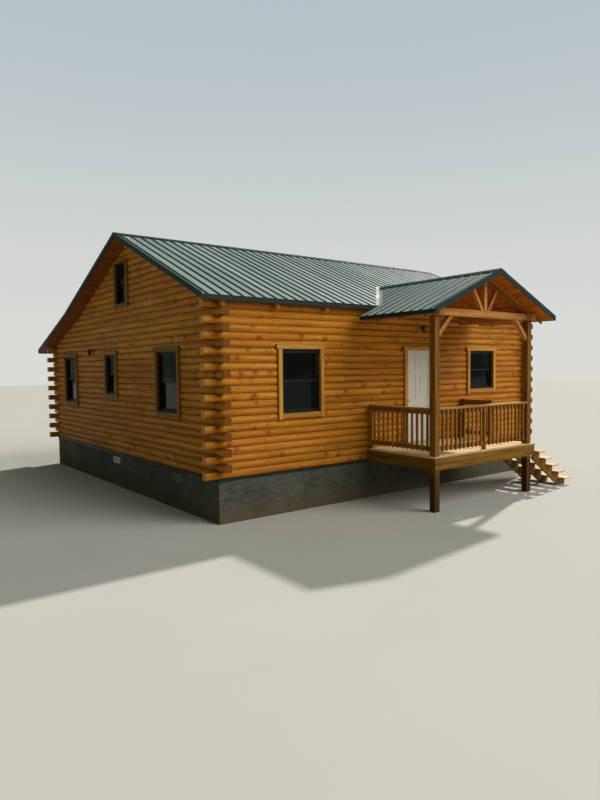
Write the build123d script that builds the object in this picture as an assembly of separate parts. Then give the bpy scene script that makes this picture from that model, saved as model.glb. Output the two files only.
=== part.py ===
from build123d import *
import math
import os

# Log cabin with a gabled entry porch. All sizes in millimetres.
# While building, X runs to the right along the front wall, Y to the rear and Z up,
# with the corner of the outer log faces at X 0, Y 0 and the underside of the first log
# at Z 0. Every piece is moved at the end, so that the origin of the finished part is the
# middle of its footprint at ground level.

# House
HOUSE_L = 9500.0            # front wall, outer log face to outer log face
HOUSE_W = 9754.0            # gable wall, 24 ft main room and 8 ft rear lean-to
LEAN_TO = 2438.0            # the lean-to's share of the gable wall
LOG_H = 139.7               # height of one course
LOG_T = 150.0               # log thickness
LOG_BULGE = 28.0            # depth of the rounded face
LOG_FLATS = 4               # flats that round the face of a log
CORNER = 240.0              # log ends past the corner
GROUND = -830.0             # lowest ground, below the first log
GAP = 0.3                   # seat between separate pieces

# Foundation and floors
FOUND_T = 250.0
FOUND_IN = 25.0             # foundation face behind the log face
BAND_H = 45.0               # metal band between the foundation and the first log
BAND_IN = 5.0
BAND_T = 110.0
FLOOR_TOP = 250.0
FLOOR_IN = 2.0              # play between the floor and the walls
LOFT_TOP = 2650.0
LOFT_T = 140.0
LOFT_END = 200.0            # the loft floor ends this far in front of the roof's kink

# Main roof: heights are of the rib tops
RAKE_LEFT, RAKE_RIGHT = 370.0, 420.0
FRONT_OVER, EAVE_Z = 175.0, 3308.0
RIDGE_BACK, RIDGE_Z = 147.0, 5019.0      # ridge behind the middle of the main room
KINK_BACK, KINK_Z = 196.0, 3508.0        # the main slope runs on over the lean-to
REAR_OVER, REAR_Z = 446.0, 2630.0
ROOF_DEPTH = 110.0          # rib top to soffit, measured vertically
RIB_PITCH = 240.0
RIB_FIRST = 90.0            # first rib from the edge of the sheet
RIB_H = 19.0
RIB_TOP = 22.0
RIB_FOOT = 62.0
SHEET_T = 3.0
SHEET_LAP = 12.0            # sheet past the eave boards
DECK_SEAT = 3.0             # play between the sheet and the boards under it
RIDGE_LAP = 8.0             # sheets stop short of the ridge
KINK_LAP = 4.0
CAP_W = 150.0               # leg of the ridge caps
CAP_SEAT = 1.5
TRIM_T = 26.0
RAKE_LIP = 1.5              # rake trim above the rib tops
EAVE_H = 95.0
VALLEY = 135.0              # leg of the valley flashing
VALLEY_OPEN = 110.0         # sheets stop this far from the valley
FLASH_T = 2.0
CAP_SHORT = 60.0            # porch ridge cap stops this far before the main roof

# Rafter tails of the main roof
TAIL_W, TAIL_H, TAIL_PITCH = 92.0, 145.0, 1190.0
TAIL_FIRST = 42.0
TAIL_BACK = 45.0            # tail end behind the eave trim's face
TAIL_CUT = 30.0             # rise of the lower edge at the end
TAIL_CLEAR = 300.0          # none nearer the porch than this

# Porch
PORCH_X0, PORCH_X1 = 3690.0, 6900.0     # outer faces of the posts
PORCH_Y = -1840.0           # front face of the posts
POST = 140.0
PR_FRONT = -2185.0
PR_EAVE = 3060.0            # rib tops at the eaves
PR_RISE = 865.0             # from there to the ridge
PR_OVER = 390.0             # eaves past the posts
PR_DEPTH = 105.0
PORCH_EAVE_H = 80.0
BEAM_DROP = 95.0            # underside of the beams below the eaves' rib tops
BEAM_H = 140.0
BEAM_OUT = 110.0            # side beams in front of the posts
TRUSS_W, TRUSS_IN = 90.0, 25.0
CHORD = 110.0
STRUT = 70.0
STRUT_FOOT, STRUT_HEAD = 90.0, 430.0    # truss struts, from the middle
KNEE, KNEE_W = 380.0, 85.0
RAFTER_W, RAFTER_H = 40.0, 90.0
RAFTER_Y = (-60.0, 610.0, 1200.0)       # porch rafters behind the face of the posts
RAFTER_END = 75.0           # rafter tails behind the eave trim's face
DECK_TOP = 250.0
DECK_T = 38.0
DECK_SIDE = 92.0            # deck past the right posts
DECK_LAP = 8.0              # boards past the rims
RIM_H, RIM_T = 230.0, 38.0
JOISTS = 5
BOARD, BOARD_GAP = 140.0, 5.0

# Railings
RAIL_TOP = 1180.0
RAIL_FOOT = 95.0            # bottom rail above the deck
RAIL_W, RAIL_H = 38.0, 89.0
CAP_T, CAP_WIDE = 38.0, 140.0
BAL_PITCH = 132.0
BAL = 38.0
BAL_DROP = 20.0             # balusters below the bottom rail
BAL_CUT = 20.0              # slanted cut at their lower ends
NEWEL = 90.0
NEWEL_WALL = 95.0           # depth of the posts against the wall

# Stairs: treads overhang three sawtooth stringers
RISERS = 6
RISE = (DECK_TOP - GROUND) / RISERS
GOING = 266.0
TREAD_L = 1210.0
TREAD_OVER = 145.0          # tread past the outer stringers
TREAD_NOSE = 20.0
TREAD_SLOT = 4.0            # slot behind each tread
STRINGER_T = 40.0
THROAT = 162.0              # stringer below its notches, measured vertically
STAIR_WAY = 960.0           # way through the right railing

# Door
DOOR_W, DOOR_H, DOOR_T = 914.0, 2032.0, 44.0
DOOR_GAP = 5.5
DOOR_MID = 5370.0
DOOR_UP = 30.0              # slab above the floor
JAMB = 32.0
JAMB_IN = 20.0              # frame behind the log face
SILL_H = 22.0
STOP = 12.0                 # lip of the frame in front of the slab
PANEL_W, PANEL_SIDE = 300.0, 60.0
PANELS = [(230.0, 800.0), (980.0, 1500.0), (1620.0, 1900.0)]
PANEL_DEEP, PANEL_RIM = 9.0, 32.0
KNOB_IN, KNOB_UP = 66.0, 950.0
# Turned steps of the knob: radius at the start and end, and depths out from the door
KNOB = [(31.0, 31.0, 0.0, 6.0), (12.0, 12.0, 5.0, 41.0), (28.0, 28.0, 40.0, 60.0), (28.0, 20.0, 60.0, 66.0)]
HINGE_R, HINGE_H, PIN_R, PIN_GAP = 6.0, 90.0, 2.5, 0.05
HINGE_OUT = 5.2             # knuckle clear of the door face
HINGE_Z = (180.0, 970.0, 1760.0)
LEAF_W, LEAF_T = 36.0, 2.7

# Windows
HEAD_Z = 2350.0
WIN_W, WIN_H = 930.0, 1235.0
WIN_SHORT, WIN_NARROW = 930.0, 630.0
FRONT_WIN = 1896.0          # middle of the window left of the door
FRONT_NEARER = 90.0         # the right one, nearer the door than halfway to the corner
SIDE_WIN = 2000.0           # gable windows, from the front corners
LEFT_BACK_WIN = 1514.0      # from the rear corner
LEFT_MID_BACK = 30.0        # middle window behind halfway
RIGHT_BACK_WIN = 3154.0
REAR_WIN_LEFT, REAR_WIN_RIGHT = 2400.0, 2550.0
LOFT_WIN_BACK = 555.0       # left loft window behind the ridge
LOFT_CLEAR = 8.0            # its boards below the soffit
LOFT_HEAD = 45.0            # its narrow head board
TRIM_W, TRIM_D = 90.0, 38.0
TRIM_EAR = 36.0
TRIM_HORN = 20.0            # side boards below the sill board
TRIM_REVEAL = 6.0
HEAD_PROUD = 6.0
FRAME_W, SASH_W = 34.0, 38.0
FRAME_IN, FRAME_OUT = 110.0, 20.0       # frame between these depths
UPPER_SASH, LOWER_SASH = (34.0, 60.0), (60.0, 90.0)
PANE_T = 4.0

# Lights and foundation vents
PLATE_W, LANTERN_H = 120.0, 160.0       # back plate, as tall as the lantern
LANTERN_OUT = 90.0          # middle of the lantern in front of the wall
LAMP_FOOT, LAMP_HEAD = 48.0, 72.0       # widths of the tapered glass
CAP_EAVE, CAP_TIP = 84.0, 18.0          # widths of its cap
SHOULDER = 32.0             # foot of the cap above the middle
ARM_W, ARM_H = 20.0, 16.0
PORCH_LIGHT_SIDE, PORCH_LIGHT_UP = 10.0, 490.0      # left of the door's middle, above its head
GABLE_LIGHT_FRONT, GABLE_LIGHT_UP = 305.0, 110.0    # in front of halfway between two windows
PLATE_T = 14.0
VENT_H, VENT_RIM, VENT_T = 140.0, 16.0, 14.0
VENT_DROP = 265.0           # foot of the vents below the first log
SLATS, SLAT_H = 5, 8.0
VENT_FRONT, VENT_FRONT_W = 1650.0, 320.0
VENT_MID_BACK, VENT_MID_W = 18.0, 410.0             # behind halfway between the others
VENT_REAR, VENT_REAR_W = 1509.0, 250.0              # from the rear corner

FAR = 3000.0                # cutting blocks reach this far past the house
OVER = 10.0                 # cutting blocks reach this far past a face
SINK = 1.0                  # overlap of pieces that are fused

# Values worked out from the sizes above
MAIN_W = HOUSE_W - LEAN_TO
EAVE_Y = -FRONT_OVER
RIDGE_Y = MAIN_W / 2 + RIDGE_BACK
KINK_Y = MAIN_W + KINK_BACK
REAR_Y = HOUSE_W + REAR_OVER
PORCH_MID = (PORCH_X0 + PORCH_X1) / 2
DECK_X1 = PORCH_X1 + DECK_SIDE
P_FRONT = (RIDGE_Z - EAVE_Z) / (RIDGE_Y - EAVE_Y)
P_REAR = (RIDGE_Z - KINK_Z) / (KINK_Y - RIDGE_Y)
P_LOW = (KINK_Z - REAR_Z) / (REAR_Y - KINK_Y)
PR_RIDGE = PR_EAVE + PR_RISE
PR_HALF = (PORCH_X1 - PORCH_X0) / 2 + PR_OVER
BEAM_Z = PR_EAVE - BEAM_DROP
P_PORCH = PR_RISE / PR_HALF
RIB_DROP = (RIB_H + SHEET_T) / math.cos(math.atan(P_FRONT)) + DECK_SEAT
LOG_R = (LOG_H ** 2 / 4 + LOG_BULGE ** 2) / (2 * LOG_BULGE)


# Solids from sizes
def box(x0, x1, y0, y1, z0, z1):
    return Solid.make_box(x1 - x0, y1 - y0, z1 - z0).moved(Location((x0, y0, z0)))


def prism(points, vector):
    """Solid swept from a flat outline of 3-D points along a vector."""
    wire = Wire.make_polygon([Vector(*p) for p in points], close=True)
    return Solid.extrude(Face(wire), Vector(*vector))


def fuse(solids):
    first, rest = solids[0], solids[1:]
    return first.fuse(*rest).clean() if rest else first


def cut(solid, tools):
    for tool in tools:
        solid = solid - tool
    return solid


def group(solids):
    return Compound(children=list(solids))


# Roof surfaces: height of the rib tops at a place in plan
def main_front(x, y):
    return EAVE_Z + (y - EAVE_Y) * P_FRONT


def main_rear(x, y):
    return RIDGE_Z - (y - RIDGE_Y) * P_REAR


def main_low(x, y):
    return KINK_Z - (y - KINK_Y) * P_LOW


def porch_left(x, y):
    return PR_RIDGE - (PORCH_MID - x) * P_PORCH


def porch_right(x, y):
    return PR_RIDGE - (x - PORCH_MID) * P_PORCH


def roof_z(y):
    """Height of the rib tops of the main roof."""
    if y <= RIDGE_Y:
        return main_front(0, y)
    if y <= KINK_Y:
        return main_rear(0, y)
    return main_low(0, y)


# Everything above the soffit of the main roof
roof_ys = (EAVE_Y - FAR, RIDGE_Y, KINK_Y, REAR_Y + FAR)
above_soffit = prism(
    [(-FAR, y, roof_z(y) - ROOF_DEPTH - GAP) for y in roof_ys]
    + [(-FAR, y, RIDGE_Z + FAR) for y in (REAR_Y + FAR, EAVE_Y - FAR)],
    (HOUSE_L + 2 * FAR, 0, 0),
)


# Log walls: every second log runs past the corner and the next one butts against it
def log_section(n):
    """Section of a log of course n: pairs of depth behind its crown and height."""
    half = math.asin(LOG_H / 2 / LOG_R)
    middle = (n + 0.5) * LOG_H
    section = [(LOG_T, middle - LOG_H / 2)]
    for i in range(LOG_FLATS + 1):
        a = half * (2 * i / LOG_FLATS - 1)
        section.append((LOG_R * (1 - math.cos(a)), middle + LOG_R * math.sin(a)))
    return section + [(LOG_T, middle + LOG_H / 2)]


def front_log(n, x0, x1):
    return prism([(x0, d, z) for d, z in log_section(n)], (x1 - x0, 0, 0))


def gable_log(n, y0, y1):
    return prism([(d, y0, z) for d, z in log_section(n)], (0, y1 - y0, 0))


def to_rear(solid):
    return solid.mirror(Plane.XZ).moved(Location((0, HOUSE_W, 0)))


def to_right(solid):
    return solid.mirror(Plane.YZ).moved(Location((HOUSE_L, 0, 0)))


def along(wall, a0, a1, d0, d1, z0, z1):
    """Box given along a wall (a), out from its log face (d, inward positive) and by height."""
    if wall == "front":
        return box(a0, a1, d0, d1, z0, z1)
    if wall == "rear":
        return box(a0, a1, HOUSE_W - d1, HOUSE_W - d0, z0, z1)
    if wall == "left":
        return box(d0, d1, a0, a1, z0, z1)
    return box(HOUSE_L - d1, HOUSE_L - d0, a0, a1, z0, z1)


def ring(wall, a0, a1, d0, d1, z0, z1, w):
    return along(wall, a0, a1, d0, d1, z0, z1) - along(
        wall, a0 + w, a1 - w, d0 - OVER, d1 + OVER, z0 + w, z1 - w
    )


# Courses beside the door, and the course cut along the slope over the front wall
door_z0 = FLOOR_TOP + DOOR_UP
door_z1 = door_z0 + DOOR_H
DOOR_COURSES = math.ceil((door_z1 + DOOR_GAP + JAMB) / LOG_H)
PLATE_COURSE = int((roof_z(0) - ROOF_DEPTH) / LOG_H)
FRONT_COURSES = math.ceil(roof_z(LOG_T) / LOG_H)
REAR_COURSES = math.ceil(roof_z(HOUSE_W - LOG_T) / LOG_H)
GABLE_COURSES = math.ceil(RIDGE_Z / LOG_H)
door_x0 = DOOR_MID - DOOR_W / 2 - DOOR_GAP - JAMB
door_x1 = DOOR_MID + DOOR_W / 2 + DOOR_GAP + JAMB


# Windows: wall, middle along the wall, width, height, sill height, head board and its ears
def window(wall, mid, width, height, sill=None, head=TRIM_W, ear=TRIM_EAR):
    return wall, mid, width, height, HEAD_Z - height if sill is None else sill, head, ear


loft_corner = LOFT_WIN_BACK + WIN_NARROW / 2 + TRIM_REVEAL + TRIM_W
loft_sill = (
    main_rear(0, RIDGE_Y + loft_corner) - ROOF_DEPTH - LOFT_CLEAR - LOFT_HEAD - TRIM_REVEAL - WIN_SHORT
)
left_back = HOUSE_W - LEFT_BACK_WIN
left_mid = (SIDE_WIN + left_back) / 2 + LEFT_MID_BACK
WINDOWS = [
    window("front", FRONT_WIN, WIN_W, WIN_H),
    window("front", (door_x1 + HOUSE_L) / 2 - FRONT_NEARER, WIN_W, WIN_SHORT),
    window("left", SIDE_WIN, WIN_W, WIN_H),
    window("left", left_mid, WIN_NARROW, WIN_SHORT),
    window("left", left_back, WIN_W, WIN_H),
    window("left", RIDGE_Y + LOFT_WIN_BACK, WIN_NARROW, WIN_SHORT, loft_sill, LOFT_HEAD, 0.0),
    window("right", SIDE_WIN, WIN_W, WIN_H),
    window("right", HOUSE_W - RIGHT_BACK_WIN, WIN_W, WIN_H),
    window("right", RIDGE_Y, WIN_NARROW, WIN_SHORT, loft_sill, LOFT_HEAD, 0.0),
    window("rear", REAR_WIN_LEFT, WIN_W, WIN_H),
    window("rear", HOUSE_L - REAR_WIN_RIGHT, WIN_W, WIN_H),
]


def holes(wall):
    return [
        along(wall, mid - width / 2, mid + width / 2, -OVER, LOG_T + OVER, sill, sill + height)
        for place, mid, width, height, sill, head, ear in WINDOWS if place == wall
    ]


def front_run(n):
    """Ends of a front or rear log."""
    return (-CORNER, HOUSE_L + CORNER) if n % 2 == 0 else (LOG_T, HOUSE_L - LOG_T)


def gable_run(n):
    """Ends of a gable log. The one cut along the slope over the front wall stops inside it."""
    if n % 2 == 0:
        return LOG_T, HOUSE_W - LOG_T
    if n == PLATE_COURSE:
        return LOG_BULGE, HOUSE_W - LOG_T
    return -CORNER, HOUSE_W + CORNER


low = range(DOOR_COURSES)
high = range(DOOR_COURSES, FRONT_COURSES)
front_left = fuse([front_log(n, front_run(n)[0], door_x0) for n in low])
front_right = fuse([front_log(n, door_x1, front_run(n)[1]) for n in low])
front_top = fuse([front_log(n, *front_run(n)) for n in high])
rear = to_rear(fuse([front_log(n, *front_run(n)) for n in range(REAR_COURSES)]))
gable = fuse([gable_log(n, *gable_run(n)) for n in range(GABLE_COURSES)]) - above_soffit

nodes = {
    "front_wall_left": cut(front_left, holes("front")),
    "front_wall_right": cut(front_right, holes("front")),
    "front_wall_top": front_top - above_soffit,
    "rear_wall": cut(rear - above_soffit, holes("rear")),
    "left_gable_wall": cut(gable, holes("left")),
    "right_gable_wall": cut(to_right(gable), holes("right")),
}


# Foundation ring, the metal band between it and the logs, and the floors
def wall_ring(inset, thick, z0, z1):
    """Ring that follows the walls in plan, its outer face behind the log faces."""
    outer, inner = inset, inset + thick
    return box(outer, HOUSE_L - outer, outer, HOUSE_W - outer, z0, z1) - box(
        inner, HOUSE_L - inner, inner, HOUSE_W - inner, z0 - OVER, z1 + OVER
    )


def inner_slab(inset, y1, z0, z1):
    """Slab between the walls, from the front one to y1."""
    side = LOG_T + inset
    return box(side, HOUSE_L - side, side, y1, z0, z1)


nodes["foundation"] = wall_ring(FOUND_IN, FOUND_T, GROUND, -BAND_H - GAP)
nodes["foundation_band"] = wall_ring(BAND_IN, BAND_T, -BAND_H, -GAP)
nodes["floor"] = inner_slab(FLOOR_IN, HOUSE_W - LOG_T - FLOOR_IN, -BAND_H, FLOOR_TOP)
nodes["loft_floor"] = inner_slab(GAP, KINK_Y - LOFT_END, LOFT_TOP - LOFT_T, LOFT_TOP)


# Windows: trim boards on the logs, a frame in the opening, two sashes and their glass
def trim_boards(wall, a0, a1, z0, z1, head=TRIM_W, ear=TRIM_EAR, sill=True):
    """Flat boards round an opening."""
    d0, d1 = -TRIM_D - GAP, -GAP
    foot = z0 - TRIM_W - TRIM_HORN if sill else z0
    parts = [
        along(wall, a0 - TRIM_W, a0, d0, d1, foot, z1),
        along(wall, a1, a1 + TRIM_W, d0, d1, foot, z1),
        along(wall, a0 - TRIM_W - ear, a1 + TRIM_W + ear, d0 - HEAD_PROUD, d1, z1, z1 + head),
    ]
    if sill:
        parts.append(along(wall, a0, a1, d0, d1, z0 - TRIM_W, z0))
    return fuse(parts)


def sash(wall, a0, a1, depths, z0, z1):
    return ring(wall, a0, a1, *depths, z0, z1, SASH_W)


def pane(wall, a0, a1, depths, z0, z1):
    """Glass in the middle of a sash's thickness, just inside its rim."""
    rim = SASH_W + GAP
    d = sum(depths) / 2
    return along(wall, a0 + rim, a1 - rim, d - PANE_T / 2, d + PANE_T / 2, z0 + rim, z1 - rim)


frames, panes, boards = [], [], []
for wall, mid, width, height, z0, head, ear in WINDOWS:
    a0, a1, z1 = mid - width / 2, mid + width / 2, z0 + height
    r = TRIM_REVEAL
    boards.append(trim_boards(wall, a0 - r, a1 + r, z0 - r, z1 + r, head, ear))
    inside = FRAME_W - SINK
    meeting = (z0 + z1) / 2
    upper = (wall, a0 + inside, a1 - inside, UPPER_SASH, meeting - SASH_W / 2, z1 - inside)
    lower = (wall, a0 + inside, a1 - inside, LOWER_SASH, z0 + inside, meeting + SASH_W / 2)
    outer = ring(wall, a0 + GAP, a1 - GAP, FRAME_OUT, FRAME_IN, z0 + GAP, z1 - GAP, FRAME_W)
    frames.append(fuse([outer, sash(*upper), sash(*lower)]))
    panes += [pane(*upper), pane(*lower)]

# Door: frame with a stop and a sill, boards round it, and the slab with its hardware
frame_z0, frame_z1 = FLOOR_TOP + GAP, DOOR_COURSES * LOG_H - GAP
slab_x0, slab_x1 = DOOR_MID - DOOR_W / 2, DOOR_MID + DOOR_W / 2
slab_y = LOG_T - DOOR_T


def door_way(grow, y0, y1):
    """Way through the door frame, from its sill to above the slab."""
    return box(slab_x0 - grow, slab_x1 + grow, y0, y1, frame_z0 + SILL_H, door_z1 + grow)


nodes["door_frame"] = cut(
    box(door_x0 + GAP, door_x1 - GAP, JAMB_IN, LOG_T, frame_z0, frame_z1),
    [door_way(DOOR_GAP, slab_y - DOOR_GAP, LOG_T + OVER), door_way(-STOP, JAMB_IN - OVER, LOG_T)],
)
reveal = JAMB - STOP
boards.append(
    trim_boards("front", door_x0 + reveal, door_x1 - reveal, frame_z0, frame_z1 - reveal, sill=False)
)

slab = box(slab_x0, slab_x1, slab_y, LOG_T, door_z0, door_z1)
for side in (-1, 1):
    x = DOOR_MID + side * (PANEL_SIDE + PANEL_W / 2)
    for p0, p1 in PANELS:
        for y0, y1 in ((slab_y - SINK, slab_y + PANEL_DEEP), (LOG_T - PANEL_DEEP, LOG_T + SINK)):
            groove = box(x - PANEL_W / 2, x + PANEL_W / 2, y0, y1, door_z0 + p0, door_z0 + p1)
            field = box(
                x - PANEL_W / 2 + PANEL_RIM, x + PANEL_W / 2 - PANEL_RIM, y0, y1,
                door_z0 + p0 + PANEL_RIM, door_z0 + p1 - PANEL_RIM,
            )
            slab = slab - (groove - field)
nodes["entry_door"] = slab


def knob(sign, y):
    """Knob on a face of the door, turned from its plate out."""
    face = Plane(origin=(slab_x0 + KNOB_IN, y, FLOOR_TOP + KNOB_UP), z_dir=(0, sign, 0))
    steps = []
    for r0, r1, out0, out1 in KNOB:
        foot = face.offset(out0)
        if r0 == r1:
            steps.append(Solid.make_cylinder(r0, out1 - out0, foot))
        else:
            steps.append(Solid.make_cone(r0, r1, out1 - out0, foot))
    return fuse(steps)


hinge_x, hinge_y = slab_x1, LOG_T + HINGE_R + HINGE_OUT


# Lift-off hinges: the door's knuckle drops over a pin that stands on the frame's knuckle
def barrel(r, z0, z1):
    return Solid.make_cylinder(r, z1 - z0, Plane(origin=(hinge_x, hinge_y, z0)))


def door_hinge(z):
    z0, z1 = z + HINGE_H / 2 + GAP, z + HINGE_H
    leaf = box(hinge_x - LEAF_W, hinge_x, LOG_T + GAP, LOG_T + GAP + LEAF_T, z, z1)
    web = box(hinge_x - LEAF_T, hinge_x, LOG_T + GAP, hinge_y, z0, z1)
    return fuse([barrel(HINGE_R, z0, z1), leaf, web]) - barrel(PIN_R + PIN_GAP, z0 - OVER, z1 + OVER)


def frame_hinge(z):
    z1 = z + HINGE_H / 2
    x0, x1 = hinge_x + DOOR_GAP, hinge_x + DOOR_GAP + JAMB - GAP * 2
    leaf = box(x0, x1, LOG_T + GAP, LOG_T + GAP + LEAF_T, z, z + HINGE_H)
    web = box(x0, x0 + LEAF_T, LOG_T + GAP, hinge_y + LEAF_T / 2, z, z1)
    bridge = box(hinge_x, x0 + LEAF_T, hinge_y - LEAF_T / 2, hinge_y + LEAF_T / 2, z, z1)
    return fuse([barrel(HINGE_R, z, z1), barrel(PIN_R, z, z + HINGE_H), leaf, web, bridge])


nodes["door_hardware"] = group(
    [knob(-1, slab_y - GAP), knob(1, LOG_T + GAP)] + [door_hinge(door_z0 + z) for z in HINGE_Z]
)
nodes["hinge_pins"] = group(frame_hinge(door_z0 + z) for z in HINGE_Z)
nodes["window_frames"] = group(frames)
nodes["window_glass"] = group(panes)
nodes["window_and_door_trim"] = group(boards)


# Roofs
def slab_under(points, zfun, drop0, drop1):
    """Flat slab below a roof surface: plan outline, heights from zfun less a drop."""
    return prism([(x, y, zfun(x, y) - drop1) for x, y in points], (0, 0, drop1 - drop0))


def rect(x0, x1, y0, y1):
    return [(x0, y0), (x1, y0), (x1, y1), (x0, y1)]


rake_x0, rake_x1 = -RAKE_LEFT, HOUSE_L + RAKE_RIGHT
rx0, rx1 = rake_x0 + TRIM_T + GAP, rake_x1 - TRIM_T - GAP
ey0, ey1 = EAVE_Y + TRIM_T + GAP, REAR_Y - TRIM_T - GAP
seam = GAP / 2
nodes["main_roof_deck"] = group([
    slab_under(rect(rx0, rx1, ey0, RIDGE_Y - seam), main_front, RIB_DROP, ROOF_DEPTH),
    slab_under(rect(rx0, rx1, RIDGE_Y + seam, KINK_Y - seam), main_rear, RIB_DROP, ROOF_DEPTH),
    slab_under(rect(rx0, rx1, KINK_Y + seam, ey1), main_low, RIB_DROP, ROOF_DEPTH),
])


def ribbed(a0, a1, first):
    """Outline of a ribbed sheet: pairs of place along it and height below the rib tops."""
    outline = [(a0, -RIB_H)]
    middle = first
    while middle + RIB_FOOT / 2 < a1:
        outline += [
            (middle - RIB_FOOT / 2, -RIB_H), (middle - RIB_TOP / 2, 0),
            (middle + RIB_TOP / 2, 0), (middle + RIB_FOOT / 2, -RIB_H),
        ]
        middle += RIB_PITCH
    return outline + [(a1, -RIB_H), (a1, -RIB_H - SHEET_T), (a0, -RIB_H - SHEET_T)]


def sheet_y(y0, y1, zfun):
    """Ribbed sheet over the whole length, its ribs running front to back."""
    z0 = zfun(0, y0)
    outline = [(x, y0, z0 + h) for x, h in ribbed(rx0, rx1, rx0 + RIB_FIRST)]
    return prism(outline, (0, y1 - y0, zfun(0, y1) - z0))


def sheet_x(y0, y1, x0, x1, zfun):
    """Ribbed sheet with its ribs running left to right."""
    z0 = zfun(x0, 0)
    outline = [(x0, y, z0 + h) for y, h in ribbed(y0, y1, y0 + RIB_FIRST)]
    return prism(outline, (x1 - x0, 0, zfun(x1, 0) - z0))


# The porch roof runs back over the main roof as far as the valleys
meet_y = EAVE_Y + (PR_RIDGE - EAVE_Z) / P_FRONT
meet_dx = (PR_RIDGE - EAVE_Z) / P_PORCH


def valley_x(y, side, out):
    """Place of a valley in plan at some depth, moved out from the porch."""
    return PORCH_MID + side * (meet_dx + out - (y - EAVE_Y) * P_FRONT / P_PORCH)


def valley_y(x, out):
    """Depth of a valley at some distance from the porch's middle."""
    return EAVE_Y + (meet_dx + out - x) * P_PORCH / P_FRONT


def valley_zone(out):
    """Everything between the two valleys, moved out from the porch."""
    y0, z0 = EAVE_Y - 2 * SHEET_LAP, EAVE_Z - FAR
    corners = [(valley_x(y0, side, out), y0, z0) for side in (-1, 1)]
    return prism(corners + [(PORCH_MID, valley_y(0, out), z0)], (0, 0, 2 * FAR))


main_sheet = sheet_y(EAVE_Y - SHEET_LAP, RIDGE_Y - RIDGE_LAP, main_front)
nodes["front_roof_sheet"] = main_sheet - valley_zone(VALLEY_OPEN)
nodes["rear_roof_sheet"] = sheet_y(RIDGE_Y + RIDGE_LAP, KINK_Y - KINK_LAP, main_rear)
nodes["lower_rear_roof_sheet"] = sheet_y(KINK_Y + KINK_LAP, REAR_Y + SHEET_LAP, main_low)

pr0, pr1 = PR_FRONT + TRIM_T + GAP, EAVE_Y - GAP
px0, px1 = PORCH_MID - PR_HALF + TRIM_T + GAP, PORCH_MID + PR_HALF - TRIM_T - GAP


def gable_outline(y, drop0, drop1, x0, x1):
    """Outline of the porch roof between two depths below its rib tops."""
    return [
        (x0, y, porch_left(x0, 0) - drop0), (PORCH_MID, y, PR_RIDGE - drop0),
        (x1, y, porch_right(x1, 0) - drop0), (x1, y, porch_right(x1, 0) - drop1),
        (PORCH_MID, y, PR_RIDGE - drop1), (x0, y, porch_left(x0, 0) - drop1),
    ]


def under_main_roof(y0, lift):
    """Everything under a plane at some height above the rib tops of the front slope."""
    y1 = meet_y + FAR
    return prism(
        [
            (0, y0, 0), (0, y0, main_front(0, y0) + lift),
            (0, y1, main_front(0, y1) + lift), (0, y1, 0),
        ],
        (HOUSE_L, 0, 0),
    )


# Over the main roof the porch's boards are cut off along that roof's boards
porch_deck = prism(gable_outline(pr0, RIB_DROP, PR_DEPTH, px0, px1), (0, pr1 - pr0, 0))
over = prism(
    [
        (px0, pr1, porch_left(px0, 0) - RIB_DROP), (PORCH_MID, pr1, PR_RIDGE - RIB_DROP),
        (px1, pr1, porch_right(px1, 0) - RIB_DROP),
    ],
    (0, meet_y + PR_DEPTH / P_FRONT - pr1, 0),
)
nodes["porch_roof_deck"] = fuse([porch_deck, over - under_main_roof(pr1 - OVER, GAP - RIB_DROP)])

past_valleys = box(
    PORCH_MID - FAR, PORCH_MID + FAR, pr1, meet_y + FAR, EAVE_Z - FAR, EAVE_Z + FAR
) - valley_zone(-VALLEY_OPEN)
porch_eave, porch_top = PR_HALF + SHEET_LAP, RIDGE_LAP
nodes["porch_roof_sheets"] = group([
    sheet_x(pr0, meet_y, PORCH_MID - porch_eave, PORCH_MID - porch_top, porch_left) - past_valleys,
    sheet_x(pr0, meet_y, PORCH_MID + porch_eave, PORCH_MID + porch_top, porch_right) - past_valleys,
])


# Ridge caps, folded over the rib tops
def cap(points, place, vector):
    """Folded strip: its section is points of place and height, set down by a function."""
    rise = CAP_SEAT + GAP
    outline = [place(a, z + rise + SHEET_T) for a, z in points]
    outline += [place(a, z + rise) for a, z in reversed(points)]
    return prism(outline, vector)


main_cap = cap(
    [(RIDGE_Y + a, roof_z(RIDGE_Y + a)) for a in (-CAP_W, 0, CAP_W)],
    lambda y, z: (rake_x0, y, z), (rake_x1 - rake_x0, 0, 0),
)
porch_cap = cap(
    [(PORCH_MID + a, PR_RIDGE - abs(a) * P_PORCH) for a in (-CAP_W, 0, CAP_W)],
    lambda x, z: (x, PR_FRONT, z), (0, meet_y - CAP_SHORT - PR_FRONT, 0),
)
nodes["ridge_caps"] = group([main_cap, porch_cap - under_main_roof(pr1, CAP_SEAT)])

# Metal-faced boards along the rakes and eaves
rake_ys = [EAVE_Y, RIDGE_Y, KINK_Y, REAR_Y]
sheet_drop = RIB_DROP - DECK_SEAT


def rake_board(x):
    outline = [(x, y, roof_z(y) + RAKE_LIP) for y in rake_ys]
    outline += [(x, y, roof_z(y) - ROOF_DEPTH) for y in reversed(rake_ys)]
    return prism(outline, (TRIM_T, 0, 0))


def eave_board(x0, x1, y, z):
    return box(x0, x1, y, y + TRIM_T, z - sheet_drop - EAVE_H, z - sheet_drop)


def porch_eave_board(x):
    z = PR_EAVE - sheet_drop
    return box(x, x + TRIM_T, pr0, pr1, z - PORCH_EAVE_H, z)


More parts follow.
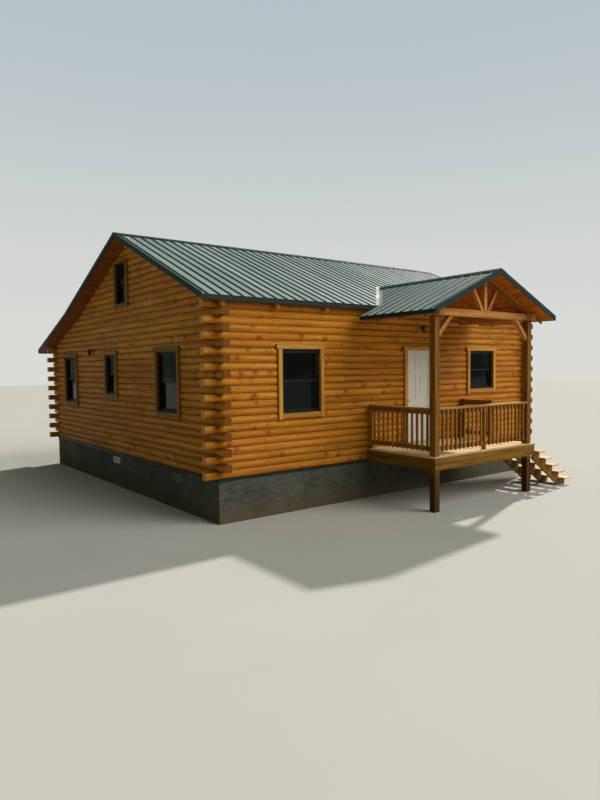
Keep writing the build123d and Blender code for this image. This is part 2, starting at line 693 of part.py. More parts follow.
nodes["rake_trim"] = group([rake_board(rake_x0), rake_board(rake_x1 - TRIM_T)])
nodes["eave_trim"] = group([
    eave_board(rx0, PORCH_MID - meet_dx - CAP_W / 2, EAVE_Y, EAVE_Z - SINK),
    eave_board(PORCH_MID + meet_dx + CAP_W / 2, rx1, EAVE_Y, EAVE_Z - SINK),
    eave_board(rx0, rx1, REAR_Y - TRIM_T, REAR_Z - SINK),
])
nodes["porch_rake_trim"] = prism(
    gable_outline(PR_FRONT, -RAKE_LIP, PR_DEPTH, PORCH_MID - PR_HALF, PORCH_MID + PR_HALF),
    (0, TRIM_T, 0),
)
nodes["porch_eave_trim"] = group([
    porch_eave_board(PORCH_MID - PR_HALF), porch_eave_board(PORCH_MID + PR_HALF - TRIM_T),
])


# Valley flashing: one leg on the main roof boards and one under the porch roof sheets
def valley(side):
    def leg(y, near, far):
        low = [(valley_x(y, side, near), y), (valley_x(y, side, far), y)]
        return low + [(PORCH_MID + side * GAP, valley_y(GAP, out)) for out in (far, near)]

    drop = RIB_DROP - FLASH_T - GAP
    on_main = leg(EAVE_Y + TRIM_T + FLASH_T, FLASH_T, VALLEY)
    on_porch = leg(pr1 + GAP, -FLASH_T, -VALLEY)
    return [
        slab_under(on_main, main_front, drop, drop + FLASH_T),
        slab_under(on_porch, porch_left if side < 0 else porch_right, drop, drop + FLASH_T),
    ]


nodes["valley_flashing"] = group(valley(-1) + valley(1))


# Rafter tails under the front eave of the main roof
def tail(x):
    y0, y1 = EAVE_Y + TAIL_BACK, -GAP
    top0, top1 = (main_front(0, y) - ROOF_DEPTH - GAP for y in (y0, y1))
    return prism(
        [(x, y0, top0), (x, y1, top1), (x, y1, top1 - TAIL_H), (x, y0, top0 - TAIL_H + TAIL_CUT)],
        (TAIL_W, 0, 0),
    )


tail_count = int((HOUSE_L - TAIL_FIRST - TAIL_W) / TAIL_PITCH) + 1
tail_xs = [TAIL_FIRST + i * TAIL_PITCH for i in range(tail_count)]
nodes["rafter_tails"] = group(
    tail(x) for x in tail_xs if x + TAIL_W < PORCH_X0 - TAIL_CLEAR or x > PORCH_X1 + TAIL_CLEAR
)

# Porch posts and the beams on them
post_xs = (PORCH_X0, PORCH_X1 - POST)
post_y1 = PORCH_Y + POST
beam_top = BEAM_Z + BEAM_H
inner_x0, inner_x1 = PORCH_X0 + POST, PORCH_X1 - POST
nodes["porch_posts"] = group(
    box(x, x + POST, PORCH_Y, post_y1, GROUND, BEAM_Z - GAP) for x in post_xs
)
above_porch = prism(
    gable_outline(PR_FRONT - OVER, PR_DEPTH + GAP, -FAR, PORCH_MID - PR_HALF, PORCH_MID + PR_HALF),
    (0, -PR_FRONT + FAR, 0),
)
side_beams = [box(x, x + POST, PORCH_Y - BEAM_OUT, -GAP, BEAM_Z, beam_top) for x in post_xs]
tie = box(inner_x0, inner_x1, PORCH_Y, post_y1, BEAM_Z, beam_top)
nodes["porch_beams"] = fuse(side_beams + [tie]) - above_porch


# Truss on the tie beam, and knee braces under it
def bar(x0, z0, x1, z1, width):
    """Straight timber between two points in the plane of the truss."""
    dx, dz = x1 - x0, z1 - z0
    n = math.hypot(dx, dz)
    ox, oz = -dz / n * width / 2, dx / n * width / 2
    y0 = PORCH_Y + TRUSS_IN
    corners = [(x0 + ox, z0 + oz), (x1 + ox, z1 + oz), (x1 - ox, z1 - oz), (x0 - ox, z0 - oz)]
    return prism([(x, y0, z) for x, z in corners], (0, TRUSS_W, 0))


soffit = PR_DEPTH + GAP
chords = prism(
    gable_outline(PORCH_Y + TRUSS_IN, soffit, soffit + CHORD, inner_x0, inner_x1), (0, TRUSS_W, 0)
)
strut_top = PR_RIDGE - soffit - STRUT_HEAD * P_PORCH - CHORD / 4
truss = [chords, bar(PORCH_MID, beam_top - OVER, PORCH_MID, PR_RIDGE - soffit - CHORD / 4, TRUSS_W)]
for side in (-1, 1):
    foot, head = PORCH_MID + side * STRUT_FOOT, PORCH_MID + side * STRUT_HEAD
    truss.append(bar(foot, beam_top - OVER, head, strut_top, STRUT))
beam_zone = box(PORCH_X0, PORCH_X1, PORCH_Y - OVER, post_y1, BEAM_Z, beam_top + GAP)
nodes["porch_truss"] = fuse(truss) - beam_zone - above_porch

knees = []
for side, x in ((1, inner_x0), (-1, inner_x1)):
    brace = bar(
        x - side * KNEE_W / 2, BEAM_Z - KNEE - KNEE_W / 2,
        x + side * (KNEE + KNEE_W / 2), BEAM_Z + KNEE_W / 2, KNEE_W,
    )
    xa, xb = sorted((x + side * GAP, x + side * (KNEE + 2 * KNEE_W)))
    zone = box(xa, xb, PORCH_Y, post_y1, BEAM_Z - KNEE - 2 * KNEE_W, BEAM_Z - GAP)
    knees.append(brace & zone)
nodes["knee_braces"] = group(knees)


# Porch rafters, with tails under the side eaves
def porch_rafter(y, side):
    near, far = SINK, PR_HALF - RAFTER_END
    a, b = PORCH_MID + side * near, PORCH_MID + side * far
    za, zb = (PR_RIDGE - run * P_PORCH - soffit for run in (near, far))
    return prism(
        [(a, y, za), (b, y, zb), (b, y, zb - RAFTER_H), (a, y, za - RAFTER_H)], (0, RAFTER_W, 0)
    )


beam_clear = [
    box(x - GAP, x + POST + GAP, PR_FRONT, 0, BEAM_Z - OVER, beam_top + GAP) for x in post_xs
]
nodes["porch_rafters"] = group(
    cut(porch_rafter(PORCH_Y + y, side), beam_clear) for y in RAFTER_Y for side in (-1, 1)
)

# Porch deck: rims outside the posts, joists between them, and boards cut round the posts
rim_z0, rim_z1 = DECK_TOP - DECK_T - RIM_H, DECK_TOP - DECK_T - GAP
rim_x0, rim_y0 = PORCH_X0 - RIM_T, PORCH_Y - RIM_T
joist_step = (inner_x1 - inner_x0) / (JOISTS + 1)
deck_frame = [
    box(rim_x0, DECK_X1, rim_y0, PORCH_Y - GAP, rim_z0, rim_z1),
    box(rim_x0, PORCH_X0 - GAP, PORCH_Y, -GAP, rim_z0, rim_z1),
    box(DECK_X1 - RIM_T, DECK_X1, PORCH_Y, -GAP, rim_z0, rim_z1),
    box(PORCH_X0, DECK_X1 - RIM_T - GAP, -RIM_T, -GAP, rim_z0, rim_z1),
]
for i in range(JOISTS):
    x = inner_x0 + (i + 1) * joist_step - RIM_T / 2
    deck_frame.append(box(x, x + RIM_T, PORCH_Y, -RIM_T - GAP, rim_z0, rim_z1))
nodes["porch_frame"] = group(deck_frame)

post_clear = [
    box(x - GAP, x + POST + GAP, PORCH_Y - GAP, post_y1 + GAP, GROUND - OVER, BEAM_Z) for x in post_xs
]
deck_boards = []
y = rim_y0 - DECK_LAP
while y < -BOARD / 2:
    y1 = min(y + BOARD - BOARD_GAP, -GAP)
    board = box(rim_x0 - DECK_LAP, DECK_X1 + DECK_LAP, y, y1, DECK_TOP - DECK_T, DECK_TOP)
    deck_boards += cut(board, post_clear).solids()
    y += BOARD
nodes["porch_deck_boards"] = group(deck_boards)

# Railings: a flat cap, top and bottom rail, and balusters on their outer side
deck_seat = DECK_TOP + GAP
foot_z = DECK_TOP + RAIL_FOOT
cap_z = RAIL_TOP - CAP_T


def railing(axis, a0, a1, middle, out):
    """Railing from a0 to a1 along an axis, its rails on a middle line. Out is +1 or -1."""
    def place(a, d, z):
        return (a, middle + out * d, z) if axis == "x" else (middle + out * d, a, z)

    def rail(width, z0, z1):
        d = width / 2
        ends = [place(a0, -d, z0), place(a0, d, z0), place(a0, d, z1), place(a0, -d, z1)]
        return prism(ends, (a1 - a0, 0, 0) if axis == "x" else (0, a1 - a0, 0))

    def baluster(a):
        d0, d1 = RAIL_W / 2, RAIL_W / 2 + BAL
        z0 = foot_z - BAL_DROP
        side = [place(a, d0, z0), place(a, d1, z0 + BAL_CUT), place(a, d1, cap_z), place(a, d0, cap_z)]
        return prism(side, (BAL, 0, 0) if axis == "x" else (0, BAL, 0))

    count = int((a1 - a0) / BAL_PITCH)
    start = (a0 + a1 - (count - 1) * BAL_PITCH - BAL) / 2
    rails = [
        rail(CAP_WIDE, cap_z, RAIL_TOP), rail(RAIL_W, cap_z - RAIL_H, cap_z),
        rail(RAIL_W, foot_z, foot_z + RAIL_H),
    ]
    return fuse(rails + [baluster(start + i * BAL_PITCH) for i in range(count)])


def newel(x, y0, y1, top):
    return box(x - NEWEL / 2, x + NEWEL / 2, y0, y1, deck_seat, top)


rail_y = PORCH_Y + POST / 2
left_rail_x, right_rail_x = PORCH_X0 + POST / 2, PORCH_X1 - POST / 2
front_x0, front_x1 = inner_x0 + GAP, inner_x1 - GAP
side_y0, side_y1 = post_y1 + GAP, SINK - NEWEL_WALL
stair_y = PORCH_Y + STAIR_WAY
nodes["front_railing"] = fuse([
    railing("x", front_x0, PORCH_MID - NEWEL / 2 + SINK, rail_y, -1),
    railing("x", PORCH_MID + NEWEL / 2 - SINK, front_x1, rail_y, -1),
    newel(PORCH_MID, rail_y - NEWEL / 2, rail_y + NEWEL / 2, cap_z),
    box(front_x0, front_x1, rail_y - CAP_WIDE / 2, rail_y + CAP_WIDE / 2, cap_z, RAIL_TOP),
])
nodes["left_railing"] = fuse([
    railing("y", side_y0, side_y1, left_rail_x, -1),
    newel(left_rail_x, -NEWEL_WALL, -GAP, RAIL_TOP),
])
nodes["right_railing"] = fuse([
    railing("y", stair_y + NEWEL - SINK, side_y1, right_rail_x, 1),
    newel(right_rail_x, -NEWEL_WALL, -GAP, RAIL_TOP),
    newel(right_rail_x, stair_y, stair_y + NEWEL, RAIL_TOP),
])

# Stairs down to the right, from the front of the deck
stair_x = DECK_X1 + GAP


def tread_z(i):
    return DECK_TOP - (i + 1) * RISE


def stringer(y):
    """Sawtooth stringer whose lower edge runs parallel to the flight."""
    notches = []
    for i in range(RISERS - 1):
        z = tread_z(i) - DECK_T
        notches += [(stair_x + i * GOING, z), (stair_x + (i + 1) * GOING, z)]
    top = tread_z(0) - DECK_T - THROAT
    foot_x = stair_x + (top - GROUND) * GOING / RISE
    edge = [(stair_x + (RISERS - 1) * GOING, GROUND), (foot_x, GROUND), (stair_x, top)]
    return prism([(x, y, z) for x, z in notches + edge], (0, STRINGER_T, 0))


def tread(i):
    x = stair_x + i * GOING
    y = PORCH_Y - TREAD_OVER
    top = tread_z(i)
    slot = TREAD_SLOT if i else 0
    return box(x + slot, x + GOING + TREAD_NOSE, y, y + TREAD_L, top - DECK_T + GAP, top)


stringer_step = (TREAD_L - 2 * TREAD_OVER - STRINGER_T) / 2
nodes["stair_stringers"] = group(stringer(PORCH_Y + i * stringer_step) for i in range(3))
nodes["stair_treads"] = group(tread(i) for i in range(RISERS - 1))


# Lights on the walls
def frustum(y, half0, z0, half1, z1):
    """Square block, tapered from one half width to another."""
    def slab(axis):
        corners = [(-half0, z0), (half0, z0), (half1, z1), (-half1, z1)]
        deep = 2 * max(half0, half1)
        if axis == "x":
            return prism([(a, y - deep, z) for a, z in corners], (0, 2 * deep, 0))
        return prism([(-deep, y + a, z) for a, z in corners], (2 * deep, 0, 0))

    return slab("x") & slab("y")


def lantern():
    """Tapered square lantern under a cap, hung from an arm on a back plate at Y 0."""
    wide, tall, y = PLATE_W / 2, LANTERN_H / 2, -LANTERN_OUT
    return fuse([
        box(-wide, wide, -PLATE_T, 0, -tall, tall),
        box(-ARM_W / 2, ARM_W / 2, y, -PLATE_T + SINK, SHOULDER - ARM_H / 2, SHOULDER + ARM_H / 2),
        frustum(y, LAMP_FOOT / 2, -tall, LAMP_HEAD / 2, SHOULDER),
        frustum(y, CAP_EAVE / 2, SHOULDER, CAP_TIP / 2, tall),
    ])


lamp = lantern()
gable_light_y = (left_mid + left_back) / 2 - GABLE_LIGHT_FRONT
nodes["porch_light"] = lamp.moved(Location((DOOR_MID - PORCH_LIGHT_SIDE, -GAP, HEAD_Z + PORCH_LIGHT_UP)))
nodes["gable_light"] = lamp.moved(
    Location((-GAP, gable_light_y, HEAD_Z + GABLE_LIGHT_UP), (0, 0, -90))
)


# Slatted vents on the left side of the foundation
def vent(mid, width):
    y0, y1, z0 = mid - width / 2, mid + width / 2, -VENT_DROP
    back = FOUND_IN - GAP
    pitch = (VENT_H - 2 * VENT_RIM) / SLATS
    slats = [
        along("left", y0 + VENT_RIM - SINK, y1 - VENT_RIM + SINK, back - VENT_T / 2, back, z, z + SLAT_H)
        for z in (z0 + VENT_RIM + (i + 0.5) * pitch - SLAT_H / 2 for i in range(SLATS))
    ]
    return fuse([ring("left", y0, y1, back - VENT_T, back, z0, z0 + VENT_H, VENT_RIM)] + slats)


rear_vent = HOUSE_W - VENT_REAR
nodes["foundation_vents"] = group([
    vent(VENT_FRONT, VENT_FRONT_W),
    vent((VENT_FRONT + rear_vent) / 2 + VENT_MID_BACK, VENT_MID_W),
    vent(rear_vent, VENT_REAR_W),
])

# Origin in the middle of the footprint, at ground level
size = group(solid for shape in nodes.values() for solid in shape.solids()).bounding_box()
shift = Location((-(size.min.X + size.max.X) / 2, -(size.min.Y + size.max.Y) / 2, -GROUND))
print("size", size.size, "shift", shift.position)

os.makedirs("parts", exist_ok=True)
for name, shape in nodes.items():
    solids = [solid.moved(shift) for solid in shape.solids()]
    out = solids[0] if len(solids) == 1 else Compound(children=solids)
    out.label = name
    export_step(out, f"parts/{name}.step")
print(len(nodes), "nodes")
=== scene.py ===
# %% [markdown]
# # A log cabin with an entry porch
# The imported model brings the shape: walls of rounded logs, ribbed roof sheets, a porch with
# railings and steps, and a door on a hinge. This lesson gives it its looks. Some parts keep
# their mesh and only get a better finish. Others are timbers that need soft arrises, a grain
# that follows each board and visible fixings, so they are made again in the same place.

# %% The frame
import math
import random

import bmesh
import bpy
from mathutils import Matrix, Vector
from mathutils.bvhtree import BVHTree


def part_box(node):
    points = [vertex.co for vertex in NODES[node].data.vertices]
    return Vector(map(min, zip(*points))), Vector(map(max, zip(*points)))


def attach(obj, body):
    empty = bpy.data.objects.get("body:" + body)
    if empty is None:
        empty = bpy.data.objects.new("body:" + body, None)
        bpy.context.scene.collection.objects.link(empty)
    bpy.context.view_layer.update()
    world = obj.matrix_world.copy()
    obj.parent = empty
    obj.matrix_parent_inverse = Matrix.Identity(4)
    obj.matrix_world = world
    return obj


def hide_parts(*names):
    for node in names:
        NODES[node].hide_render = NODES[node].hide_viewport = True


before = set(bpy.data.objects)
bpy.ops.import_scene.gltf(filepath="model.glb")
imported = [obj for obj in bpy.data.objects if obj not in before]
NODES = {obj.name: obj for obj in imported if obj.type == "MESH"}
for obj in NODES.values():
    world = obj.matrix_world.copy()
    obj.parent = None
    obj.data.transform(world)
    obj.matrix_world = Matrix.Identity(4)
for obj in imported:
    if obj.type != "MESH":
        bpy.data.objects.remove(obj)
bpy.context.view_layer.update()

# %% [markdown]
# ## Where the house stands
# Everything is placed from one corner of the house, where the log faces of the front and
# left walls meet under the first log. X runs right along the front wall, Y to the rear and
# Z up. The corner is read from the walls, so that pieces follow the model if it moves.

# %% The corner of the house
LEFT_X = float(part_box("left_gable_wall")[0][0])
RIGHT_X = float(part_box("right_gable_wall")[1][0])
FRONT_Y = float(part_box("front_wall_left")[0][1])
REAR_Y = float(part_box("rear_wall")[1][1])
LOG_FOOT = float(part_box("front_wall_left")[0][2])
CORNER = Vector((LEFT_X, FRONT_Y, LOG_FOOT))
MIDDLE = Vector(((LEFT_X + RIGHT_X) / 2, (FRONT_Y + REAR_Y) / 2, 0.0))
COURSE = 0.1397
LOG_BULGE = 0.028
LOG_ROUND = (COURSE ** 2 / 4 + LOG_BULGE ** 2) / (2 * LOG_BULGE)
print("corner", CORNER, "radius of a log face", round(LOG_ROUND, 4))

# %% [markdown]
# ## A small language for finishes
# Wood grain, dirt and paint wear are sums of simple patterns. Written out as single nodes
# they take pages, so one class wraps a socket and lets it be added, multiplied and compared
# like a number. A second class holds a material and makes any node in one call.


# %% Amounts
def operator(operation, reflected=False):
    """A sign between two amounts, such as + or <, that adds one Math node."""
    def sign(self, other):
        first, second = (other, self) if reflected else (self, other)
        return self.finish.maths(operation, first, second)
    return sign


class Amount:
    """One number that varies over a surface."""

    def __init__(self, finish, socket):
        self.finish, self.socket = finish, socket

    __add__ = __radd__ = operator("ADD")
    __mul__ = __rmul__ = operator("MULTIPLY")
    __sub__ = operator("SUBTRACT")
    __rsub__ = operator("SUBTRACT", reflected=True)
    __truediv__ = operator("DIVIDE")
    __lt__ = operator("LESS_THAN")
    __gt__ = operator("GREATER_THAN")


# %% Materials
class Finish:
    """A material made from nodes. Values that are the same everywhere go straight to the shader."""

    def __init__(self, name, specular=0.5, **shader):
        self.material = bpy.data.materials.new(name)
        self.material.use_nodes = True
        self.tree = self.material.node_tree
        self.tree.nodes.clear()
        shader["Specular IOR Level"] = specular
        self.shader = self.node("ShaderNodeBsdfPrincipled", {}, shader)
        self.node("ShaderNodeOutputMaterial", {}, {"Surface": self.shader.outputs[0]})
        where = self.node("ShaderNodeTexCoord")
        self.place, self.facing = where.outputs["Object"], where.outputs["Normal"]

    def feed(self, socket, value):
        """Links a pattern to a socket, or sets a plain value on it."""
        if isinstance(value, Amount):
            value = value.socket
        if isinstance(value, bpy.types.NodeSocket):
            self.tree.links.new(value, socket)
        else:
            socket.default_value = value

    def node(self, kind, settings=(), inputs=()):
        """Adds a node. Its settings are made first, because they decide what its sockets are."""
        made = self.tree.nodes.new(kind)
        for name, value in dict(settings).items():
            setattr(made, name, value)
        for name, value in dict(inputs).items():
            self.feed(made.inputs[name], value)
        return made

    def amount(self, kind, settings=(), inputs=(), output=0):
        return Amount(self, self.node(kind, settings, inputs).outputs[output])

    def maths(self, operation, *values):
        return self.amount("ShaderNodeMath", {"operation": operation}, dict(enumerate(values)))

    def split(self, vector):
        made = self.node("ShaderNodeSeparateXYZ", {}, {0: vector})
        return [Amount(self, made.outputs[i]) for i in range(3)]

    def point(self, x, y, z):
        return self.node("ShaderNodeCombineXYZ", {}, {0: x, 1: y, 2: z}).outputs[0]

    def noise(self, place, scale=1.0, detail=3.0, roughness=0.55):
        inputs = {"Vector": place, "Scale": scale, "Detail": detail, "Roughness": roughness}
        return self.amount("ShaderNodeTexNoise", {}, inputs)

    def chance(self, x, y=0.0):
        """A random number from 0 to 1 that is the same wherever x and y are the same."""
        inputs = {"Vector": self.point(x, y, 0.0)}
        return self.amount("ShaderNodeTexWhiteNoise", {"noise_dimensions": "2D"}, inputs)

    def ease(self, value, start, end, low=0.0, high=1.0):
        """Runs smoothly from low to high as a value goes from start to end."""
        inputs = {"Value": value, "From Min": start, "From Max": end, "To Min": low, "To Max": high}
        return self.amount("ShaderNodeMapRange", {"interpolation_type": "SMOOTHSTEP"}, inputs)

    def tint(self, share, first, second, how="MIX"):
        settings = {"data_type": "RGBA", "blend_type": how}
        return self.node("ShaderNodeMix", settings, {0: share, 6: first, 7: second}).outputs[2]

    def shade(self, colour, factor):
        """A colour made lighter or darker by an amount."""
        grey = self.node("ShaderNodeCombineColor", {}, {0: factor, 1: factor, 2: factor}).outputs[0]
        return self.tint(1.0, colour, grey, "MULTIPLY")

    def apply(self, colour, roughness, height=None, depth=0.001, normal=None):
        """Sends the patterns to the shader. Height is raised by depth metres."""
        sockets = {"Base Color": colour, "Roughness": roughness}
        if height is not None:
            inputs = {"Height": height, "Distance": depth, "Strength": 1.0}
            if normal is not None:
                inputs["Normal"] = normal
            sockets["Normal"] = self.node("ShaderNodeBump", {}, inputs).outputs[0]
        for name, value in sockets.items():
            self.feed(self.shader.inputs[name], value)
        print("finish", self.material.name, len(self.tree.nodes), "nodes")
        return self


def paint(red, green, blue):
    """A colour given as it is seen on a screen, from 0 to 255."""
    def light(c):
        c /= 255.0
        return c / 12.92 if c <= 0.04045 else ((c + 0.055) / 1.055) ** 2.4
    return light(red), light(green), light(blue), 1.0


# %% [markdown]
# ## The figure of pine
# A sawn pine face shows long rings, fine fibres and round knots that push the rings aside.
# The rings are the contour lines of a noise that is stretched along the grain. The knots
# are picked cells of a Voronoi pattern, so they fall at random and never in rows. Each
# board or log moves the pattern by its own amount, so no two look alike.


# %% Grain, knots and end grain
def pine(f, run, across, deep, knots_apart, knot_size, share):
    """Rings, fibres and knots for a place given along, across and into the grain."""
    inputs = {"Vector": f.point(run, across, 0.0), "Scale": 1.0 / knots_apart}
    cells = f.node("ShaderNodeTexVoronoi", {"voronoi_dimensions": "2D"}, inputs)
    pick, size = f.split(cells.outputs["Color"])[:2]
    radius = knot_size * (0.45 + 0.7 * size)
    uneven = f.noise(f.point(run * 60.0, across * 60.0, 0.0), 1.0, 2.0) - 0.5
    away = Amount(f, cells.outputs["Distance"]) * knots_apart + uneven * radius * 0.5
    there = pick < share
    rim = f.ease(away, radius * 0.45, radius * 0.85)
    knot = f.ease(away, radius * 1.05, radius * 0.85) * (0.6 + 0.4 * rim) * there
    halo = f.ease(away, radius * 3.6, radius) * there
    drift = f.noise(f.point(run * 0.5, across * 8.0, deep * 8.0), 1.0, 2.0)
    rings = 0.5 + 0.5 * f.maths("SINE", (drift + 0.22 * halo) * 85.0)
    fibre = f.noise(f.point(run * 7.0, across * 190.0, deep * 190.0), 1.0, 3.0)
    streak = f.noise(f.point(run * 1.1, across * 17.0, deep * 17.0), 1.0, 3.0)
    return rings, fibre, streak, knot, halo


def end_grain(f, across, deep):
    """Rings round the heart of a log, and the cracks that run out from it."""
    radius = f.maths("SQRT", across * across + deep * deep)
    uneven = f.noise(f.point(across * 20.0, deep * 20.0, 0.0), 1.0, 2.0)
    rings = 0.5 + 0.5 * f.maths("SINE", radius * 1500.0 + uneven * 7.0)
    angle = f.maths("ARCTAN2", across, deep)
    round_place = f.point(f.maths("SINE", angle) * 2.2, f.maths("COSINE", angle) * 2.2, 0.0)
    return rings, f.ease(f.noise(round_place, 1.0, 3.0), 0.62, 0.68)


# %% [markdown]
# ## Stained log siding
# The walls are pine logs with an orange stain. Each course is its own log, cut in lengths,
# so the tone changes from log to log. The joints are dark with gathered stain and painted
# shade, knots show through, and the crown of each log has a painted highlight. The round
# faces are built from flats, so the normal is bent to the true circle. One finish runs along
# X for the front and rear walls, and one along Y for the gables. The sawn log ends carry
# painted light at the front and rear walls and painted shade at the gables.

# %% Log colours
STAIN = paint(176, 112, 20)
STAIN_DEEP = paint(134, 76, 8)
STAIN_RED = paint(158, 88, 14)
# The crown colour is a painted highlight on the upper middle of each log.
CROWN_HIGHLIGHT = paint(204, 144, 52)
KNOT, KNOT_HALO = paint(82, 28, 2), paint(150, 68, 10)
JOINT = paint(46, 24, 6)
# The ends of the front and rear logs are painted light, and the ends of the gable logs painted shade.
LIT_FRONT_ENDS = paint(200, 150, 76), paint(142, 94, 36)
SHADED_GABLE_ENDS = paint(120, 70, 12), paint(74, 38, 4)
LOG_LENGTH, LOG_HALF = 3.9, 0.08
LOG_KNOTS_APART, LOG_KNOT = 0.34, 0.036
MATT = 0.12


# %% The finish of the logs
def log_finish(name, along_x, ends):
    f = Finish(name, MATT)
    x, y, z = f.split(f.place)
    nx, ny = f.split(f.facing)[:2]
    run, deep, end_facing, out_facing = (x, y, nx, ny) if along_x else (y, x, ny, nx)
    middle, reach = (MIDDLE.y, REAR_Y - MIDDLE.y) if along_x else (MIDDLE.x, RIGHT_X - MIDDLE.x)
    level = (z - LOG_FOOT) / COURSE
    course = f.maths("FLOOR", level)
    up = level - course
    side = f.maths("SIGN", deep - middle)
    length = run / LOG_LENGTH + f.chance(course, side)
    log = f.maths("FLOOR", length)
    from_seam = f.maths("ABSOLUTE", length - log - 0.5)
    tone, warm = f.chance(log, course + side * 40.0), f.chance(log + 9.0, course + side * 70.0)
    slide = f.chance(log + 3.0, course + side * 20.0) * 40.0
    rings, fibre, streak, knot, halo = pine(f, run + slide, z + slide, deep, LOG_KNOTS_APART, LOG_KNOT, 0.5)
    colour = f.tint(f.ease(streak, 0.35, 0.75) * 0.8, STAIN, STAIN_DEEP)
    colour = f.tint(f.ease(warm, 0.45, 1.0) * 0.55, colour, STAIN_RED)
    # Painted highlight: the crown of each log is made paler, in patches.
    crown_highlight = f.ease(f.maths("ABSOLUTE", up - 0.56), 0.3, 0.02)
    patches = f.noise(f.point(run * 0.9, z * 3.0, deep * 3.0), 1.0, 3.0)
    colour = f.tint(crown_highlight * f.ease(patches, 0.35, 0.75) * 0.5, colour, CROWN_HIGHLIGHT)
    colour = f.shade(colour, 0.77 + 0.26 * tone + 0.13 * rings + 0.15 * fibre)
    colour = f.tint(knot * 0.72, f.tint(halo * 0.5, colour, KNOT_HALO), KNOT)
    # Darker at the joints between courses: partly gathered stain, partly painted shade in the groove.
    joint_stain_and_shade = f.ease(f.maths("ABSOLUTE", up - 0.5), 0.42, 0.5) * 0.75
    seam = f.ease(from_seam, 0.4985, 0.4994)
    colour = f.tint(f.maths("MAXIMUM", joint_stain_and_shade, seam), colour, JOINT)
    heart = deep - side * (reach - LOG_HALF) - middle
    end_rings, crack = end_grain(f, (up - 0.5) * COURSE, heart)
    end_colour = f.tint(crack, f.tint(end_rings * 0.4 + 0.25 * tone, *ends), JOINT)
    end = f.maths("ABSOLUTE", end_facing) > 0.7
    colour = f.tint(end, colour, end_colour)
    lean = (up - 0.5) * (COURSE / LOG_ROUND)
    out = f.maths("SQRT", 1.0 - lean * lean) * side
    round_face = f.point(0.0, out, lean) if along_x else f.point(out, 0.0, lean)
    outer = out_facing * side > 0.6
    normal = f.node("ShaderNodeMix", {"data_type": "VECTOR"},
                    {0: outer, 4: f.facing, 5: round_face}).outputs[1]
    height = fibre * 0.5 + rings * 0.25 - knot * 0.6 - seam * 3.0 - crack * end * 2.0
    roughness = f.ease(streak, 0.3, 0.7, 0.46, 0.64)
    return f.apply(colour, roughness, height, 0.0006, normal)


FRONT_LOGS = log_finish("logs_along_front", True, LIT_FRONT_ENDS)
GABLE_LOGS = log_finish("logs_along_gable", False, SHADED_GABLE_ENDS)

# %% [markdown]
# ## Boards with their own grain
# A sloping rafter and a flat deck board can share one finish if each face knows where it
# lies in its own board. That place is kept on the mesh as an attribute, along, across and
# into the grain, with a second one for the board's tone and a third for end grain.

# %% Colours of sawn boards, pale and dark
TRIM = paint(192, 138, 62), paint(154, 104, 38)
# The gable trim colours are the trim painted in shade.
SHADED_GABLE_TRIM = paint(130, 96, 40), paint(104, 72, 24)
TRUSS = paint(184, 124, 62), paint(148, 94, 42)
BEAM = paint(136, 91, 27), paint(100, 63, 11)
STAINED = paint(166, 96, 24), paint(122, 66, 12)
# The pale pairs of the deck and the caps are painted light on their upper faces.
DECK = paint(238, 212, 166), paint(196, 158, 106)
RIM = paint(126, 88, 16), paint(90, 58, 6)
RAIL = paint(150, 102, 34), paint(110, 70, 18)
CAP = paint(222, 178, 118), paint(176, 128, 72)
BOARD_KNOT = paint(70, 38, 20)
DIRT = paint(88, 76, 60)
DECK_FOOT = float(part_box("porch_frame")[0][2])


# %% A finish that reads a board's own grain
def board_finish(name, colours, roughness=0.6, weather=0.25, share=0.25, saw=0.0005, side=None,
                 damp_and_shade=None):
    """Sawn boards, with a pale and a dark colour. With a side colour, the faces that look up keep
    the pale colours as painted light and the other faces take the side colour. A height for
    damp and shade, in metres, under which the wood is darker: partly damp, partly painted shade
    under the deck."""
    pale, dark = colours
    f = Finish(name, MATT)
    grain = f.node("ShaderNodeAttribute", {"attribute_name": "grain"}).outputs["Vector"]
    tone = f.amount("ShaderNodeAttribute", {"attribute_name": "tone"}, (), "Fac")
    end = f.amount("ShaderNodeAttribute", {"attribute_name": "end"}, (), "Fac")
    run, across, deep = f.split(grain)
    rings, fibre, streak, knot, halo = pine(f, run, across, deep, 0.3, 0.012, share)
    colour = f.tint(f.ease(streak, 0.3, 0.72), pale, dark)
    if side:
        # Painted light: faces that look up take the pale colours, the other faces the side colour.
        top = f.split(f.facing)[2] > 0.7
        colour = f.tint(top, f.tint(streak, side, f.shade(colour, 0.5)), colour)
    colour = f.shade(colour, 0.76 + 0.3 * tone + 0.14 * rings + 0.12 * fibre)
    colour = f.tint(knot * 0.8 + halo * 0.2, colour, BOARD_KNOT)
    ring, crack = end_grain(f, across, deep)
    cut = f.tint(ring * 0.5 + crack * 0.4, pale, dark)
    colour = f.tint(end, colour, f.shade(cut, 0.62 + 0.2 * tone))
    stain = f.noise(f.place, 1.7, 4.0, 0.6)
    colour = f.tint(f.ease(stain, 0.48, 0.8) * weather, colour, DIRT)
    # Below this height the wood is darker: partly damp, partly painted shade under the deck.
    if damp_and_shade:
        up = f.split(f.place)[2] + (stain - 0.5) * 0.2
        colour = f.shade(colour, f.ease(up, damp_and_shade - 0.08, damp_and_shade, 0.34, 1.0))
    height = fibre * 0.7 + rings * 0.2 - knot * 0.4 - crack * end
    return f.apply(colour, f.ease(streak, 0.3, 0.8, roughness - 0.08, roughness + 0.1), height, saw)


